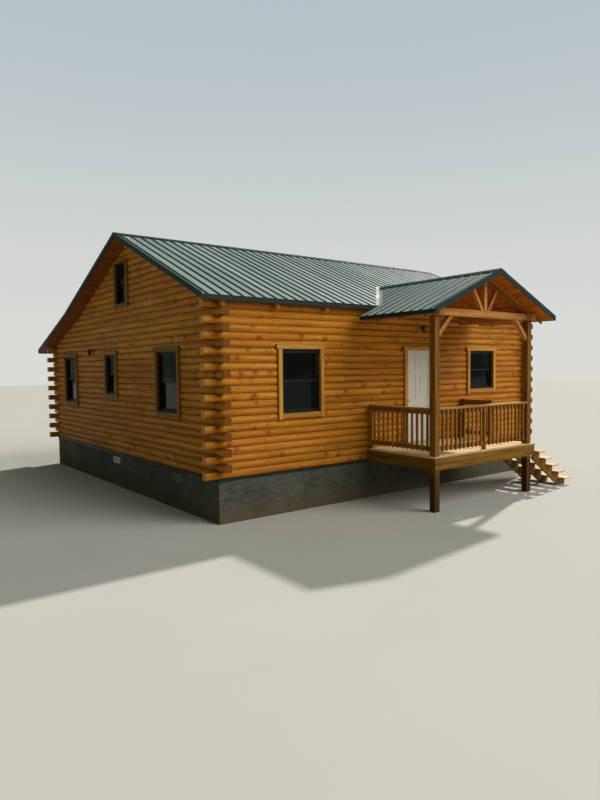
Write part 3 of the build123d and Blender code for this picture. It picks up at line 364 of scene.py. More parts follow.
# %% Nine kinds of boards
TRIM_PINE = board_finish("trim_pine", TRIM, 0.5, 0.06, 0.2, 0.0003)
SHADED_GABLE_PINE = board_finish("gable_pine_in_shade", SHADED_GABLE_TRIM, 0.55, 0.1, 0.2, 0.0003)
BEAM_WOOD = board_finish("porch_timber", BEAM, 0.62, 0.2, damp_and_shade=DECK_FOOT)
TRUSS_WOOD = board_finish("truss_timber", TRUSS, 0.58, 0.08)
STAINED_WOOD = board_finish("stained_timber", STAINED, 0.58, 0.08)
DECK_WOOD = board_finish("deck_boards_finish", DECK, 0.66, 0.16, side=RIM[0])
CAP_WOOD = board_finish("rail_cap_timber", CAP, 0.6, 0.12, saw=0.0004, side=RAIL[0])
RIM_WOOD = board_finish("rim_timber", RIM)
RAIL_WOOD = board_finish("rail_timber", RAIL, weather=0.2)

# %% [markdown]
# ## Boards that stay as they are in the model
# Soffits, floors and the roof boards are wide flat layers, so their boards are only drawn:
# a dark line at each tongue and groove, a tone for each board, and the same pine figure.


# %% Tongue-and-groove boards
def boarding(name, pale, dark, along_x, width, roughness):
    """Boards of one width, drawn on a flat layer. They run along X or along Y."""
    f = Finish(name, 0.15)
    x, y, z = f.split(f.place)
    run, across = (x, y) if along_x else (y, x)
    strip = across / width
    board = f.maths("FLOOR", strip)
    tone = f.chance(board, 2.0)
    slide = f.chance(board, 5.0) * 30.0
    rings, fibre, streak, knot, halo = pine(f, run + slide, across + slide, z, 0.3, 0.014, 0.35)
    colour = f.tint(f.ease(streak, 0.3, 0.72), pale, dark)
    colour = f.shade(colour, 0.76 + 0.34 * tone + 0.12 * rings + 0.1 * fibre)
    colour = f.tint(knot * 0.8 + halo * 0.2, colour, KNOT)
    groove = f.ease(f.maths("ABSOLUTE", strip - board - 0.5), 0.47, 0.5)
    colour = f.tint(groove * 0.85, colour, JOINT)
    height = fibre * 0.3 - groove * 4.0
    return f.apply(colour, f.ease(streak, 0.3, 0.8, roughness - 0.08, roughness + 0.08), height, 0.0008)


MAIN_SOFFIT = boarding("soffit_boards", paint(140, 80, 26), paint(98, 50, 14), True, 0.14, 0.6)
PORCH_SOFFIT = boarding("porch_ceiling", paint(186, 102, 14), paint(136, 68, 6), False, 0.14, 0.58)
FLOOR_WOOD = boarding("floor_boards", paint(186, 140, 92), paint(140, 98, 58), True, 0.13, 0.5)

# %% [markdown]
# ## Painted roof metal
# The roof is ribbed steel with a dark green paint. The flats between the ribs carry a painted
# pale sky reflection, so from a distance the roof is pale with dark lines, and the ribs keep
# the green of the folded trim. Rain carries dust down the slope in faint streaks, and the thin
# sheet is never quite flat, which shows as soft changes in the shine. The ribs run down the
# slope, so the porch has its own version of the sheet, with a paler painted reflection. The
# trim along the eaves and the band over the foundation are painted in shade, in the deepest
# green. The same pattern without ribs also makes the bare metal of the valleys, the black
# window frames and the lanterns.

# %% Painted metal
RIB_PITCH, RIB_FIRST, RIB_FOOT, RIB_EDGE = 0.240, 0.090, 0.062, 0.014
SATIN = 0.2


def metal_finish(name, colour, wear_and_sheen, stretch, roughness, share=0.4, ribs=None):
    """Painted metal. Stretch is the scale of its streaks along X, Y and Z. Ribs are given as
    the axis across them and the middle of one."""
    f = Finish(name, SATIN)
    x, y, z = place = f.split(f.place)
    streak = f.noise(f.point(*[c * s for c, s in zip(place, stretch)]), 1.0, 4.0, 0.6)
    cloud = f.noise(f.place, 0.8, 3.0)
    speck = f.noise(f.place, 90.0, 2.0)
    wear_and_sheen_share = f.ease(streak, 0.3, 0.8) * share + f.ease(cloud, 0.4, 0.8) * share * 0.5
    if ribs:
        axis, first = ribs
        step = (place[axis] - first) / RIB_PITCH + 0.5
        off = f.maths("ABSOLUTE", f.maths("FRACT", step) - 0.5) * RIB_PITCH
        # Painted reflection: the flats between the ribs are pushed to the pale colour.
        flat = f.ease(off, RIB_FOOT / 2, RIB_FOOT / 2 + RIB_EDGE)
        wear_and_sheen_share = flat * (0.78 + 0.3 * wear_and_sheen_share) + 0.12 * wear_and_sheen_share
    mixed = f.shade(f.tint(wear_and_sheen_share, colour, wear_and_sheen), 0.94 + 0.12 * speck)
    height = f.noise(f.point(x * 1.6, y * 1.6, z * 1.6), 1.0, 1.0) + 0.01 * speck
    return f.apply(mixed, f.ease(streak, 0.3, 0.8, roughness, roughness + 0.16), height, 0.006)


# %% Roof sheets, trim, frames and lamps
GREEN, GREEN_WORN = paint(14, 40, 36), paint(34, 60, 56)
# The deepest green of the eave trim and the foundation band is painted shade.
SHADED_GREEN, SHADED_GREEN_WORN = paint(8, 24, 19), paint(20, 38, 31)
# The pale colours of the main and porch sheets are a painted sky reflection.
SKY_SHEEN, PORCH_SKY_SHEEN = paint(132, 147, 145), paint(153, 168, 167)
ZINCED, ZINCED_WORN = paint(156, 164, 158), paint(190, 197, 191)
BLACK, BLACK_WORN = paint(8, 8, 7), paint(20, 19, 18)
CAST, CAST_WORN = paint(20, 19, 18), paint(44, 40, 36)
MAIN_STREAKS, PORCH_STREAKS = (5.0, 0.25, 0.25), (0.25, 5.0, 0.25)
EVEN, FINE, DOTS = (1.2, 1.2, 1.2), (2.0, 2.0, 2.0), (9.0, 9.0, 9.0)
main_rib = (0, float(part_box("front_roof_sheet")[0][0]) + RIB_FIRST)
porch_rib = (1, float(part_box("porch_roof_sheets")[0][1]) + RIB_FIRST)
MAIN_SHEET = metal_finish("roof_sheet_main", GREEN, SKY_SHEEN, MAIN_STREAKS, 0.34, 0.5, main_rib)
PORCH_SHEET = metal_finish("roof_sheet_porch", GREEN, PORCH_SKY_SHEEN, PORCH_STREAKS, 0.34, 0.5, porch_rib)
GREEN_TRIM = metal_finish("green_trim", GREEN, GREEN_WORN, EVEN, 0.38)
SHADED_TRIM = metal_finish("shaded_green_trim", SHADED_GREEN, SHADED_GREEN_WORN, EVEN, 0.42)
VALLEY_METAL = metal_finish("valley_metal", ZINCED, ZINCED_WORN, FINE, 0.3, 0.8)
BLACK_FRAME = metal_finish("window_frame_finish", BLACK, BLACK_WORN, FINE, 0.44)
LAMP_BLACK = metal_finish("lamp_metal_finish", CAST, CAST_WORN, DOTS, 0.45)

# %% [markdown]
# ## Parged foundation
# The block foundation has a coat of cement, trowelled by hand. It is mottled grey, with
# damp and splashed dirt along its foot, hairline cracks, and trowel ridges in the surface.
# Noise at several scales gives all but the cracks. They are the borders of large Voronoi
# cells, bent by the other patterns so that they wander, and shown only here and there.

# %% Foundation
def parge():
    f = Finish("parged_foundation", SATIN)
    x, y, z = f.split(f.place)
    mottle = f.noise(f.place, 1.3, 5.0, 0.62)
    grit = f.noise(f.place, 140.0, 3.0)
    trowel = f.noise(f.point(x * 4.0, y * 4.0, z * 11.0), 1.0, 4.0, 0.6)
    splash = f.noise(f.point(x * 3.0, y * 3.0, z * 1.5), 1.0, 5.0, 0.65)
    bend = (trowel - 0.5) * 0.5
    inputs = {"Vector": f.point(x + bend, y + bend, z + (splash - 0.5) * 0.9), "Scale": 0.45}
    edge = f.amount("ShaderNodeTexVoronoi", {"feature": "DISTANCE_TO_EDGE"}, inputs, "Distance")
    crack = f.ease(edge, 0.0022, 0.0) * f.ease(mottle, 0.42, 0.55)
    colour = f.tint(f.ease(mottle, 0.3, 0.72), paint(76, 76, 66), paint(58, 59, 51))
    colour = f.tint(f.ease(trowel, 0.4, 0.75) * 0.25, colour, paint(122, 119, 110))
    low = f.ease(z + (splash - 0.5) * 0.7, 0.5, 0.02)
    colour = f.tint(low * 0.7, colour, paint(84, 70, 50))
    colour = f.tint(crack * 0.5, f.shade(colour, 0.9 + 0.2 * grit), paint(46, 44, 38))
    height = trowel * 2.0 + grit * 0.4 - crack
    return f.apply(colour, f.ease(mottle, 0.3, 0.7, 0.8, 0.95), height, 0.003)


PARGE = parge()

# %% [markdown]
# ## The three vents
# The vents in the foundation are moulded grilles. The middle one is still white. The other
# two have gone dull with splashed dirt, so the dirt grows with the distance from the middle
# vent.

# %% Vents
vent_low, vent_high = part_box("foundation_vents")
VENT_MIDDLE, VENT_REACH = (vent_low[1] + vent_high[1]) / 2, (vent_high[1] - vent_low[1]) / 2


def vent_finish():
    f = Finish("vent_finish", SATIN)
    far = f.maths("ABSOLUTE", f.split(f.place)[1] - VENT_MIDDLE) / VENT_REACH
    dirt = f.noise(f.place, 14.0, 4.0, 0.6)
    share = f.ease(far + (dirt - 0.5) * 0.4, 0.35, 0.75) * 0.85 + 0.1 * dirt
    colour = f.tint(share, paint(226, 226, 220), paint(92, 86, 62))
    return f.apply(colour, f.ease(dirt, 0.3, 0.7, 0.5, 0.7), dirt, 0.0004)


VENT_PLASTIC = vent_finish()

# %% [markdown]
# ## Door paint, glass and knob
# The door is steel with an embossed wood grain under cream paint. The panes are dark from
# outside because the rooms are unlit: a tinted, mostly solid glass with a film of dust
# reads the same from every side. The knob and the hinges are aged bronze, and the fixings
# of the porch are dull zinc.


# %% Door, glass and bronze
def door_paint():
    f = Finish("door_paint_finish")
    x, y, z = f.split(f.place)
    emboss = f.noise(f.point(x * 90.0, y * 90.0, z * 3.0), 1.0, 3.0)
    smudge = f.noise(f.place, 3.0, 4.0, 0.6)
    colour = f.tint(f.ease(smudge, 0.45, 0.8) * 0.35, paint(208, 201, 191), paint(172, 163, 150))
    colour = f.shade(colour, 0.96 + 0.07 * emboss)
    return f.apply(colour, f.ease(smudge, 0.3, 0.7, 0.36, 0.5), emboss, 0.0004)


def dark_glass():
    f = Finish("window_glass_finish", 0.14, Alpha=0.93)
    dust = f.noise(f.place, 2.2, 5.0, 0.65)
    ripple = f.noise(f.place, 1.1, 1.0)
    colour = f.tint(f.ease(dust, 0.5, 0.85) * 0.35, paint(8, 12, 9), paint(50, 56, 48))
    return f.apply(colour, f.ease(dust, 0.4, 0.85, 0.04, 0.22), ripple, 0.002)


def bronze():
    f = Finish("aged_bronze", Metallic=0.9)
    wear = f.noise(f.place, 60.0, 4.0, 0.6)
    colour = f.tint(f.ease(wear, 0.35, 0.75), paint(72, 50, 30), paint(140, 104, 62))
    return f.apply(colour, f.ease(wear, 0.3, 0.7, 0.28, 0.5), wear, 0.0002)


def zinc():
    f = Finish("zinc_plated", Metallic=0.85)
    wear = f.noise(f.place, 120.0, 3.0)
    colour = f.tint(f.ease(wear, 0.35, 0.7), paint(108, 104, 96), paint(76, 68, 58))
    return f.apply(colour, f.ease(wear, 0.3, 0.7, 0.35, 0.55), wear, 0.0001)


DOOR_PAINT, GLASS, BRONZE, ZINC = door_paint(), dark_glass(), bronze(), zinc()

# %% [markdown]
# ## Finishes for the parts that keep their mesh
# Logs, roof sheets, windows and the door have the right shape in the model. They could be
# built again, but then they might stray from it. So their mesh is left alone, and only
# their material slots get a finish.

# %% Dress the CAD parts
DRESS = {
    FRONT_LOGS: ["front_wall_left", "front_wall_right", "front_wall_top", "rear_wall"],
    GABLE_LOGS: ["left_gable_wall", "right_gable_wall"],
    MAIN_SHEET: ["front_roof_sheet", "rear_roof_sheet", "lower_rear_roof_sheet"],
    PORCH_SHEET: ["porch_roof_sheets"],
    VALLEY_METAL: ["valley_flashing"],
    GREEN_TRIM: ["ridge_caps", "rake_trim", "porch_rake_trim", "porch_eave_trim"],
    SHADED_TRIM: ["foundation_band", "eave_trim"],
    MAIN_SOFFIT: ["main_roof_deck"],
    PORCH_SOFFIT: ["porch_roof_deck"],
    FLOOR_WOOD: ["floor", "loft_floor"],
    PARGE: ["foundation"],
    BLACK_FRAME: ["window_frames"],
    GLASS: ["window_glass"],
    DOOR_PAINT: ["entry_door", "door_frame"],
    BRONZE: ["door_hardware", "hinge_pins"],
    VENT_PLASTIC: ["foundation_vents"],
}
for finish, names in DRESS.items():
    for name in names:
        for slot in NODES[name].material_slots:
            slot.material = finish.material
print("dressed", sum(len(names) for names in DRESS.values()), "of", len(NODES), "parts")

# %% [markdown]
# ## Timbers from the model
# Posts, rafters, joists and treads have the right shape, but razor-sharp edges. A copy of
# each mesh is merged into whole faces, its outer edges are cut back by a few millimetres,
# and each board gets its own grain. Joined timbers are first parted where one board ends.
# New boards would need every cut and notch again, and a copy already has them.

# %% The boards of a mesh
def boards_of(bm):
    """The separate boards of a mesh, as lists of faces."""
    for face in bm.faces:
        face.tag = False
    found = []
    for first in bm.faces:
        if first.tag:
            continue
        first.tag = True
        board, edge = [first], [first]
        while edge:
            for other in [f for e in edge.pop().edges for f in e.link_faces]:
                if not other.tag:
                    other.tag = True
                    board.append(other)
                    edge.append(other)
        found.append(board)
    return found


# %% Grain for each board
END_ON, ALIGNED, OFF_HEART, SLIDE = 0.8, 0.01, 0.03, 40


def lay_grain(bm, draw):
    """Gives each face its place in its board. The grain runs along the board's longest edge."""
    grain = bm.loops.layers.float_vector.new("grain")
    tone = bm.loops.layers.float.new("tone")
    end = bm.loops.layers.float.new("end")
    bm.normal_update()
    for board in boards_of(bm):
        edges = (e for f in board for e in f.edges)
        longest = max(edges, key=lambda e: round(e.calc_length(), 5))
        axis = (longest.verts[1].co - longest.verts[0].co).normalized()
        if axis.x + axis.y + axis.z < 0:
            axis = -axis
        middle = sum((f.calc_center_median() for f in board), Vector()) / len(board)
        shift = Vector((draw.uniform(0, SLIDE), draw.uniform(0, SLIDE), draw.uniform(0, SLIDE)))
        shade = draw.random()
        for face in board:
            cut = abs(face.normal.dot(axis)) > END_ON
            across = axis.cross(face.normal)
            if across.length <= ALIGNED:
                across = axis.orthogonal()
            across.normalize()
            for loop in face.loops:
                place = loop.vert.co - middle
                if cut:
                    other = axis.cross(across)
                    loop[grain] = (shift.x, place.dot(across), place.dot(other) + OFF_HEART)
                else:
                    ways = (axis, across, face.normal)
                    loop[grain] = Vector([place.dot(way) for way in ways]) + shift
                loop[tone] = shade
                loop[end] = 1.0 if cut else 0.0


# %% Soft edges, and finished pieces
SHARP = math.radians(20)


def soften(bm, arris):
    """Cuts back the outer edges."""
    sharp = [e for e in bm.edges
             if len(e.link_faces) == 2 and e.is_convex and e.calc_face_angle() > SHARP]
    bmesh.ops.bevel(bm, geom=sharp, offset=arris, offset_type="OFFSET", segments=1, profile=0.5,
                    affect="EDGES", clamp_overlap=True, material=-1)


def link(name, data):
    """An object of the scene that shows a mesh, a lamp or a camera."""
    made = bpy.data.objects.new(name, data)
    bpy.context.scene.collection.objects.link(made)
    return made


def shown(name, bm, finish):
    """A finished object made from a mesh under construction, which it uses up."""
    mesh = bpy.data.meshes.new(name)
    bm.to_mesh(mesh)
    bm.free()
    mesh.materials.append(finish.material)
    return link(name, mesh)


def piece(name, bm, finish, slot, replaces=()):
    """A piece of the house, which hides the model parts it replaces. All new pieces ride on the cabin."""
    made = shown(name, bm, finish)
    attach(made, "cabin")
    if replaces:
        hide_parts(*replaces)
    print("piece", name, len(made.data.polygons), "faces")


# %% Whole parts, and parts parted by planes
MERGED, FLUSH = 0.00005, math.radians(0.5)


def whole(node):
    """A CAD part's mesh with its loose triangles merged into whole faces."""
    bm = bmesh.new()
    bm.from_mesh(NODES[node].data)
    bmesh.ops.remove_doubles(bm, verts=bm.verts[:], dist=MERGED)
    bmesh.ops.dissolve_limit(bm, angle_limit=FLUSH, verts=bm.verts[:], edges=bm.edges[:])
    return bm


def portion(node, planes):
    """What is left of a part behind some planes, each a point and a direction, closed again."""
    bm = whole(node)
    for point, way in planes:
        point, way = CORNER + Vector(point), Vector(way)
        bmesh.ops.bisect_plane(bm, geom=bm.verts[:] + bm.edges[:] + bm.faces[:], dist=MERGED / 10,
                               plane_co=point, plane_no=way, clear_outer=True)
        way.normalize()
        flat = [f for f in bm.faces
                if all(abs((v.co - point).dot(way)) < MERGED for v in f.verts)]
        bmesh.ops.delete(bm, geom=flat, context="FACES")
        bmesh.ops.holes_fill(bm, edges=[e for e in bm.edges if e.is_boundary])
    bmesh.ops.recalc_face_normals(bm, faces=bm.faces[:])
    return bm


def gather(meshes):
    """Several meshes in one."""
    whole_mesh = bmesh.new()
    for part in meshes:
        mesh = bpy.data.meshes.new("part")
        part.to_mesh(mesh)
        part.free()
        whole_mesh.from_mesh(mesh)
        bpy.data.meshes.remove(mesh)
    return whole_mesh


def timbers(name, bm, finish, slot, replaces, arris, seed):
    """A piece of sawn boards. Arris is how far the edges are cut back."""
    soften(bm, arris)
    lay_grain(bm, random.Random(seed))
    piece(name, bm, finish, slot, replaces)


# %% Single timbers
SINGLE = (
    ("posts", "porch_posts", BEAM_WOOD, "beam_wood", 0.006),
    ("braces", "knee_braces", TRUSS_WOOD, "beam_wood", 0.004),
    ("side_rafters", "porch_rafters", STAINED_WOOD, "beam_wood", 0.003),
    ("eave_tails", "rafter_tails", STAINED_WOOD, "beam_wood", 0.004),
    ("rims_and_joists", "porch_frame", RIM_WOOD, "deck_wood", 0.003),
    ("decking", "porch_deck_boards", DECK_WOOD, "deck_wood", 0.004),
    ("stringers", "stair_stringers", RIM_WOOD, "deck_wood", 0.003),
    ("treads", "stair_treads", DECK_WOOD, "deck_wood", 0.006),
)
for seed, (name, node, finish, slot, arris) in enumerate(SINGLE, start=2):
    timbers(name, whole(node), finish, slot, [node], arris, seed)

# %% [markdown]
# ## The porch truss and its beams
# In the model the truss is one solid. On the building it is two sloping chords, a king post
# and two struts between them. Planes along the joints part it, and each member is closed
# and gets its own grain. The beams are parted in the same way, where the tie beam meets the
# side beams.

# %% Sizes of the porch, and planes that part its timbers
PORCH_X0, PORCH_X1, POST = 3.690, 6.900, 0.140
PORCH_MID = (PORCH_X0 + PORCH_X1) / 2
PORCH_Y = -1.840
INNER_X0, INNER_X1 = PORCH_X0 + POST, PORCH_X1 - POST
PORCH_RIDGE, PORCH_EAVE, PORCH_HALF = 3.925, 3.060, 1.995
PORCH_SLOPE = (PORCH_RIDGE - PORCH_EAVE) / PORCH_HALF
ROOF_OVER_CHORD, CHORD_DEEP, KING_HALF = 0.1053, 0.110, 0.048
CHORD_FOOT = PORCH_RIDGE - ROOF_OVER_CHORD - CHORD_DEEP
BOTH = (-1, 1)


def upright(x, way):
    """A plane across the porch that clears what lies to its right (1) or left (-1)."""
    return (x, 0, 0), (way, 0, 0)


def sloping(side, way):
    """The plane under one chord. It clears what lies over it (1) or under it (-1)."""
    return (PORCH_MID, 0, CHORD_FOOT), (way * side * PORCH_SLOPE, 0, way)


def parted(node, members):
    """Members of a joined part, each given by its planes."""
    return gather([portion(node, planes) for planes in members])


# %% The members of the truss and the beams
king = [sloping(s, 1) for s in BOTH] + [upright(PORCH_MID + s * KING_HALF, s) for s in BOTH]
struts = [[sloping(s, 1), upright(PORCH_MID + s * KING_HALF, -s)] for s in BOTH]
chords = parted("porch_truss", [[sloping(s, -1), upright(PORCH_MID, -s)] for s in BOTH])
timbers("truss_chords", chords, STAINED_WOOD, "beam_wood", ["porch_truss"], 0.004, 10)
web = parted("porch_truss", [king] + struts)
timbers("truss_web", web, TRUSS_WOOD, "beam_wood", ["porch_truss"], 0.004, 16)
tie = [upright(INNER_X0, -1), upright(INNER_X1, 1)]
beams = parted("porch_beams", [[upright(INNER_X0, 1)], [upright(INNER_X1, -1)], tie])
timbers("beams", beams, TRUSS_WOOD, "beam_wood", ["porch_beams"], 0.005, 11)


# %% [markdown]
# ## Railings
# A railing is a flat cap over two rails, with square balusters screwed to its outer side.
# Their lower ends are cut on a slant. Every board is a stretched cube, and the outer lower
# edge of each baluster is raised for the slant. The railings are made anew, because the
# post in the middle of the front one is half as wide as in the model.

# %% Boards for railings
def cube(bm, place, size):
    """Adds a cube, stretched to a size, at a place that may be turned."""
    matrix = place @ Matrix.Diagonal((*size, 1.0))
    return bmesh.ops.create_cube(bm, size=1.0, matrix=matrix)["verts"]


def board(bm, low, high):
    """Adds a straight board between two corners, measured from the corner of the house."""
    low, high = Vector(low), Vector(high)
    return cube(bm, Matrix.Translation(CORNER + (low + high) / 2), high - low)


# %% Sizes of the railings
RAIL_TOP, CAP_T, CAP_WIDE = 1.180, 0.038, 0.140
RAIL_W, RAIL_H, RAIL_FOOT = 0.038, 0.089, 0.345
BALUSTER, BALUSTER_PITCH, BALUSTER_DROP, BALUSTER_CUT = 0.038, 0.132, 0.020, 0.020
NEWEL, NEWEL_WALL, SEAT = 0.090, 0.095, 0.0003
DECK_TOP = 0.250
CAP_Z = RAIL_TOP - CAP_T
BALUSTERS = {"front_railing": [], "left_railing": [], "right_railing": []}


# %% Rails with their balusters
def rail_run(node, bm, along_x, a0, a1, middle, out):
    """Two rails from a0 to a1 with their balusters on one side."""
    def put(a, d, z):
        return (a, middle + out * d, z) if along_x else (middle + out * d, a, z)

    def bar(b0, b1, d0, d1, z0, z1):
        p, q = put(b0, d0, z0), put(b1, d1, z1)
        return board(bm, [min(*c) for c in zip(p, q)], [max(*c) for c in zip(p, q)])

    bar(a0, a1, -RAIL_W / 2, RAIL_W / 2, CAP_Z - RAIL_H, CAP_Z)
    bar(a0, a1, -RAIL_W / 2, RAIL_W / 2, RAIL_FOOT, RAIL_FOOT + RAIL_H)
    count = int((a1 - a0) / BALUSTER_PITCH)
    start = (a0 + a1 - (count - 1) * BALUSTER_PITCH - BALUSTER) / 2
    for i in range(count):
        a = start + i * BALUSTER_PITCH
        BALUSTERS[node].append(a + BALUSTER / 2)
        verts = bar(a, a + BALUSTER, RAIL_W / 2, RAIL_W / 2 + BALUSTER, RAIL_FOOT - BALUSTER_DROP, CAP_Z)
        foot = min(v.co.z for v in verts)
        outer = CORNER + Vector(put(a, RAIL_W / 2 + BALUSTER, 0))
        for v in verts:
            across = (v.co - outer).y if along_x else (v.co - outer).x
            if v.co.z < foot + MERGED and abs(across) < MERGED:
                v.co.z += BALUSTER_CUT
    return count


# %% The three railings
RAIL_LINE = PORCH_Y + POST / 2
LEFT_LINE, RIGHT_LINE = PORCH_X0 + POST / 2, PORCH_X1 - POST / 2
STAIR_WIDE, MID_POST, PINCH = 0.960, 0.045, 0.001
STAIR_END = PORCH_Y + STAIR_WIDE
front, left, right, caps = bmesh.new(), bmesh.new(), bmesh.new(), bmesh.new()
f0, f1 = INNER_X0 + SEAT, INNER_X1 - SEAT
mid0, mid1 = PORCH_MID - MID_POST / 2, PORCH_MID + MID_POST / 2
balusters = rail_run("front_railing", front, True, f0, mid0 + PINCH, RAIL_LINE, -1)
balusters += rail_run("front_railing", front, True, mid1 - PINCH, f1, RAIL_LINE, -1)
board(front, (mid0, RAIL_LINE - NEWEL / 2, DECK_TOP + SEAT), (mid1, RAIL_LINE + NEWEL / 2, CAP_Z))
side0, side1 = PORCH_Y + POST + SEAT, PINCH - NEWEL_WALL
right0 = STAIR_END + NEWEL - PINCH
balusters += rail_run("left_railing", left, False, side0, side1, LEFT_LINE, -1)
balusters += rail_run("right_railing", right, False, right0, side1, RIGHT_LINE, 1)
for bm, line in ((left, LEFT_LINE), (right, RIGHT_LINE)):
    board(bm, (line - NEWEL / 2, -NEWEL_WALL, DECK_TOP + SEAT), (line + NEWEL / 2, -SEAT, RAIL_TOP))
board(right, (RIGHT_LINE - NEWEL / 2, STAIR_END, DECK_TOP + SEAT),
      (RIGHT_LINE + NEWEL / 2, STAIR_END + NEWEL, RAIL_TOP))
half = CAP_WIDE / 2
board(caps, (f0, RAIL_LINE - half, CAP_Z), (f1, RAIL_LINE + half, RAIL_TOP))
board(caps, (LEFT_LINE - half, side0, CAP_Z), (LEFT_LINE + half, side1, RAIL_TOP))
board(caps, (RIGHT_LINE - half, right0, CAP_Z), (RIGHT_LINE + half, side1, RAIL_TOP))
for name, bm, seed in (("front", front, 12), ("left", left, 13), ("right", right, 14)):
    timbers(f"{name}_rails", bm, RAIL_WOOD, "rail_wood", [f"{name}_railing"], 0.003, seed)
timbers("rail_caps", caps, CAP_WOOD, "rail_wood", list(BALUSTERS), 0.004, 17)
print(balusters, "balusters")

# %% [markdown]
# ## Boards round the windows and the door
# Each opening has flat boards on the logs: a head with small ears, two sides that run past
# the sill board, and the sill board between them. The outline of each set is read from the
# model, and its boards are made one by one. The sets on the gables have the same pine in
# painted shade, darker, so they are a piece of their own.

# %% The boards of one opening
TRIM_W, TRIM_EAR, TRIM_HORN, HEAD_PROUD = 0.090, 0.036, 0.020, 0.006
LOFT_HEAD, LOFT_FOOT, DOOR_TALL = 0.045, 2.9, 1.9


def trim_boards(bm, low, high):
    """Boards of one opening, from the box round them."""
    size = high - low
    along = 0 if size.x > size.y else 1
    thin = 1 - along
    outward = -1 if (low + high)[thin] / 2 < MIDDLE[thin] else 1
    loft = low.z - CORNER.z > LOFT_FOOT
    head, ear = (LOFT_HEAD, 0.0) if loft else (TRIM_W, TRIM_EAR)
    has_sill = size.z < DOOR_TALL
    a0, a1, z0, z1 = low[along] + ear, high[along] - ear, low.z, high.z - head
    face = [low[thin], high[thin]]
    face[0 if outward < 0 else 1] -= outward * HEAD_PROUD

    def bar(b0, b1, y0, y1, depths):
        p, q = [0.0, 0.0, y0], [0.0, 0.0, y1]
        p[along], q[along], p[thin], q[thin] = b0, b1, depths[0], depths[1]
        board(bm, Vector(p) - CORNER, Vector(q) - CORNER)

    bar(a0 - ear, a1 + ear, z1, high.z, (low[thin], high[thin]))
    bar(a0, a0 + TRIM_W, z0, z1, face)
    bar(a1 - TRIM_W, a1, z0, z1, face)
    if has_sill:
        bar(a0 + TRIM_W, a1 - TRIM_W, z0 + TRIM_HORN, z0 + TRIM_HORN + TRIM_W, face)


# %% Twelve sets of trim
sets = whole("window_and_door_trim")
trims = {"trim": bmesh.new(), "gable_trim": bmesh.new()}
openings = boards_of(sets)
for group in openings:
    corners = [v.co for f in group for v in f.verts]
    low, high = (Vector([end(c[i] for c in corners) for i in range(3)]) for end in (min, max))
    on_gable = high.x - low.x < high.y - low.y
    trim_boards(trims["gable_trim" if on_gable else "trim"], low, high)
print(len(openings), "openings with boards")
sets.free()
for name, finish in (("trim", TRIM_PINE), ("gable_trim", SHADED_GABLE_PINE)):
    timbers(name, trims[name], finish, "trim_wood", ["window_and_door_trim"], 0.003, 15)

# %% [markdown]
# ## Lanterns
# Each lantern stands on a pine block that fills the round of the logs. It is a small cast
# frame with a tapered frosted glass, four corner bars and a peaked cap, hung from a short
# arm. A cone with four sides gives the glass, the cap and the foot, and the bars are thin
# stretched cubes that lean with the glass.

# %% Lantern sizes and glass
PLATE_W, PLATE_TALL, PLATE_T = 0.120, 0.160, 0.014
LANTERN_OUT, LAMP_FOOT, LAMP_HEAD, SHOULDER = 0.090, 0.048, 0.072, 0.032
CAP_EAVE, CAP_TIP, LAMP_BAR = 0.084, 0.018, 0.006
ROSE, ROSE_FACE, ROSE_T = 0.030, 0.026, 0.010
ARM, ARM_UP, FOOT_T, FOOT_PROUD = 0.014, 0.008, 0.010, 0.008
GLASS_IN, QUARTER = 0.004, math.pi / 2


def frosted():
    f = Finish("frosted_glass", **{"Transmission Weight": 0.6, "IOR": 1.45})
    dust = f.noise(f.place, 40.0, 3.0)
    colour = f.tint(dust, paint(84, 70, 46), paint(54, 44, 28))
    return f.apply(colour, f.ease(dust, 0.3, 0.7, 0.4, 0.6), dust, 0.0002)


def square_cone(bm, foot, head, low, high):
    """A four-sided cone on the lantern's middle line, its widths measured across the flats."""
    matrix = Matrix.Translation((0, -LANTERN_OUT, (low + high) / 2)) @ Matrix.Rotation(QUARTER / 2, 4, "Z")
    half = math.sqrt(0.5)
    bmesh.ops.create_cone(bm, cap_ends=True, cap_tris=False, segments=4, radius1=foot * half,
                          radius2=head * half, depth=high - low, matrix=matrix)


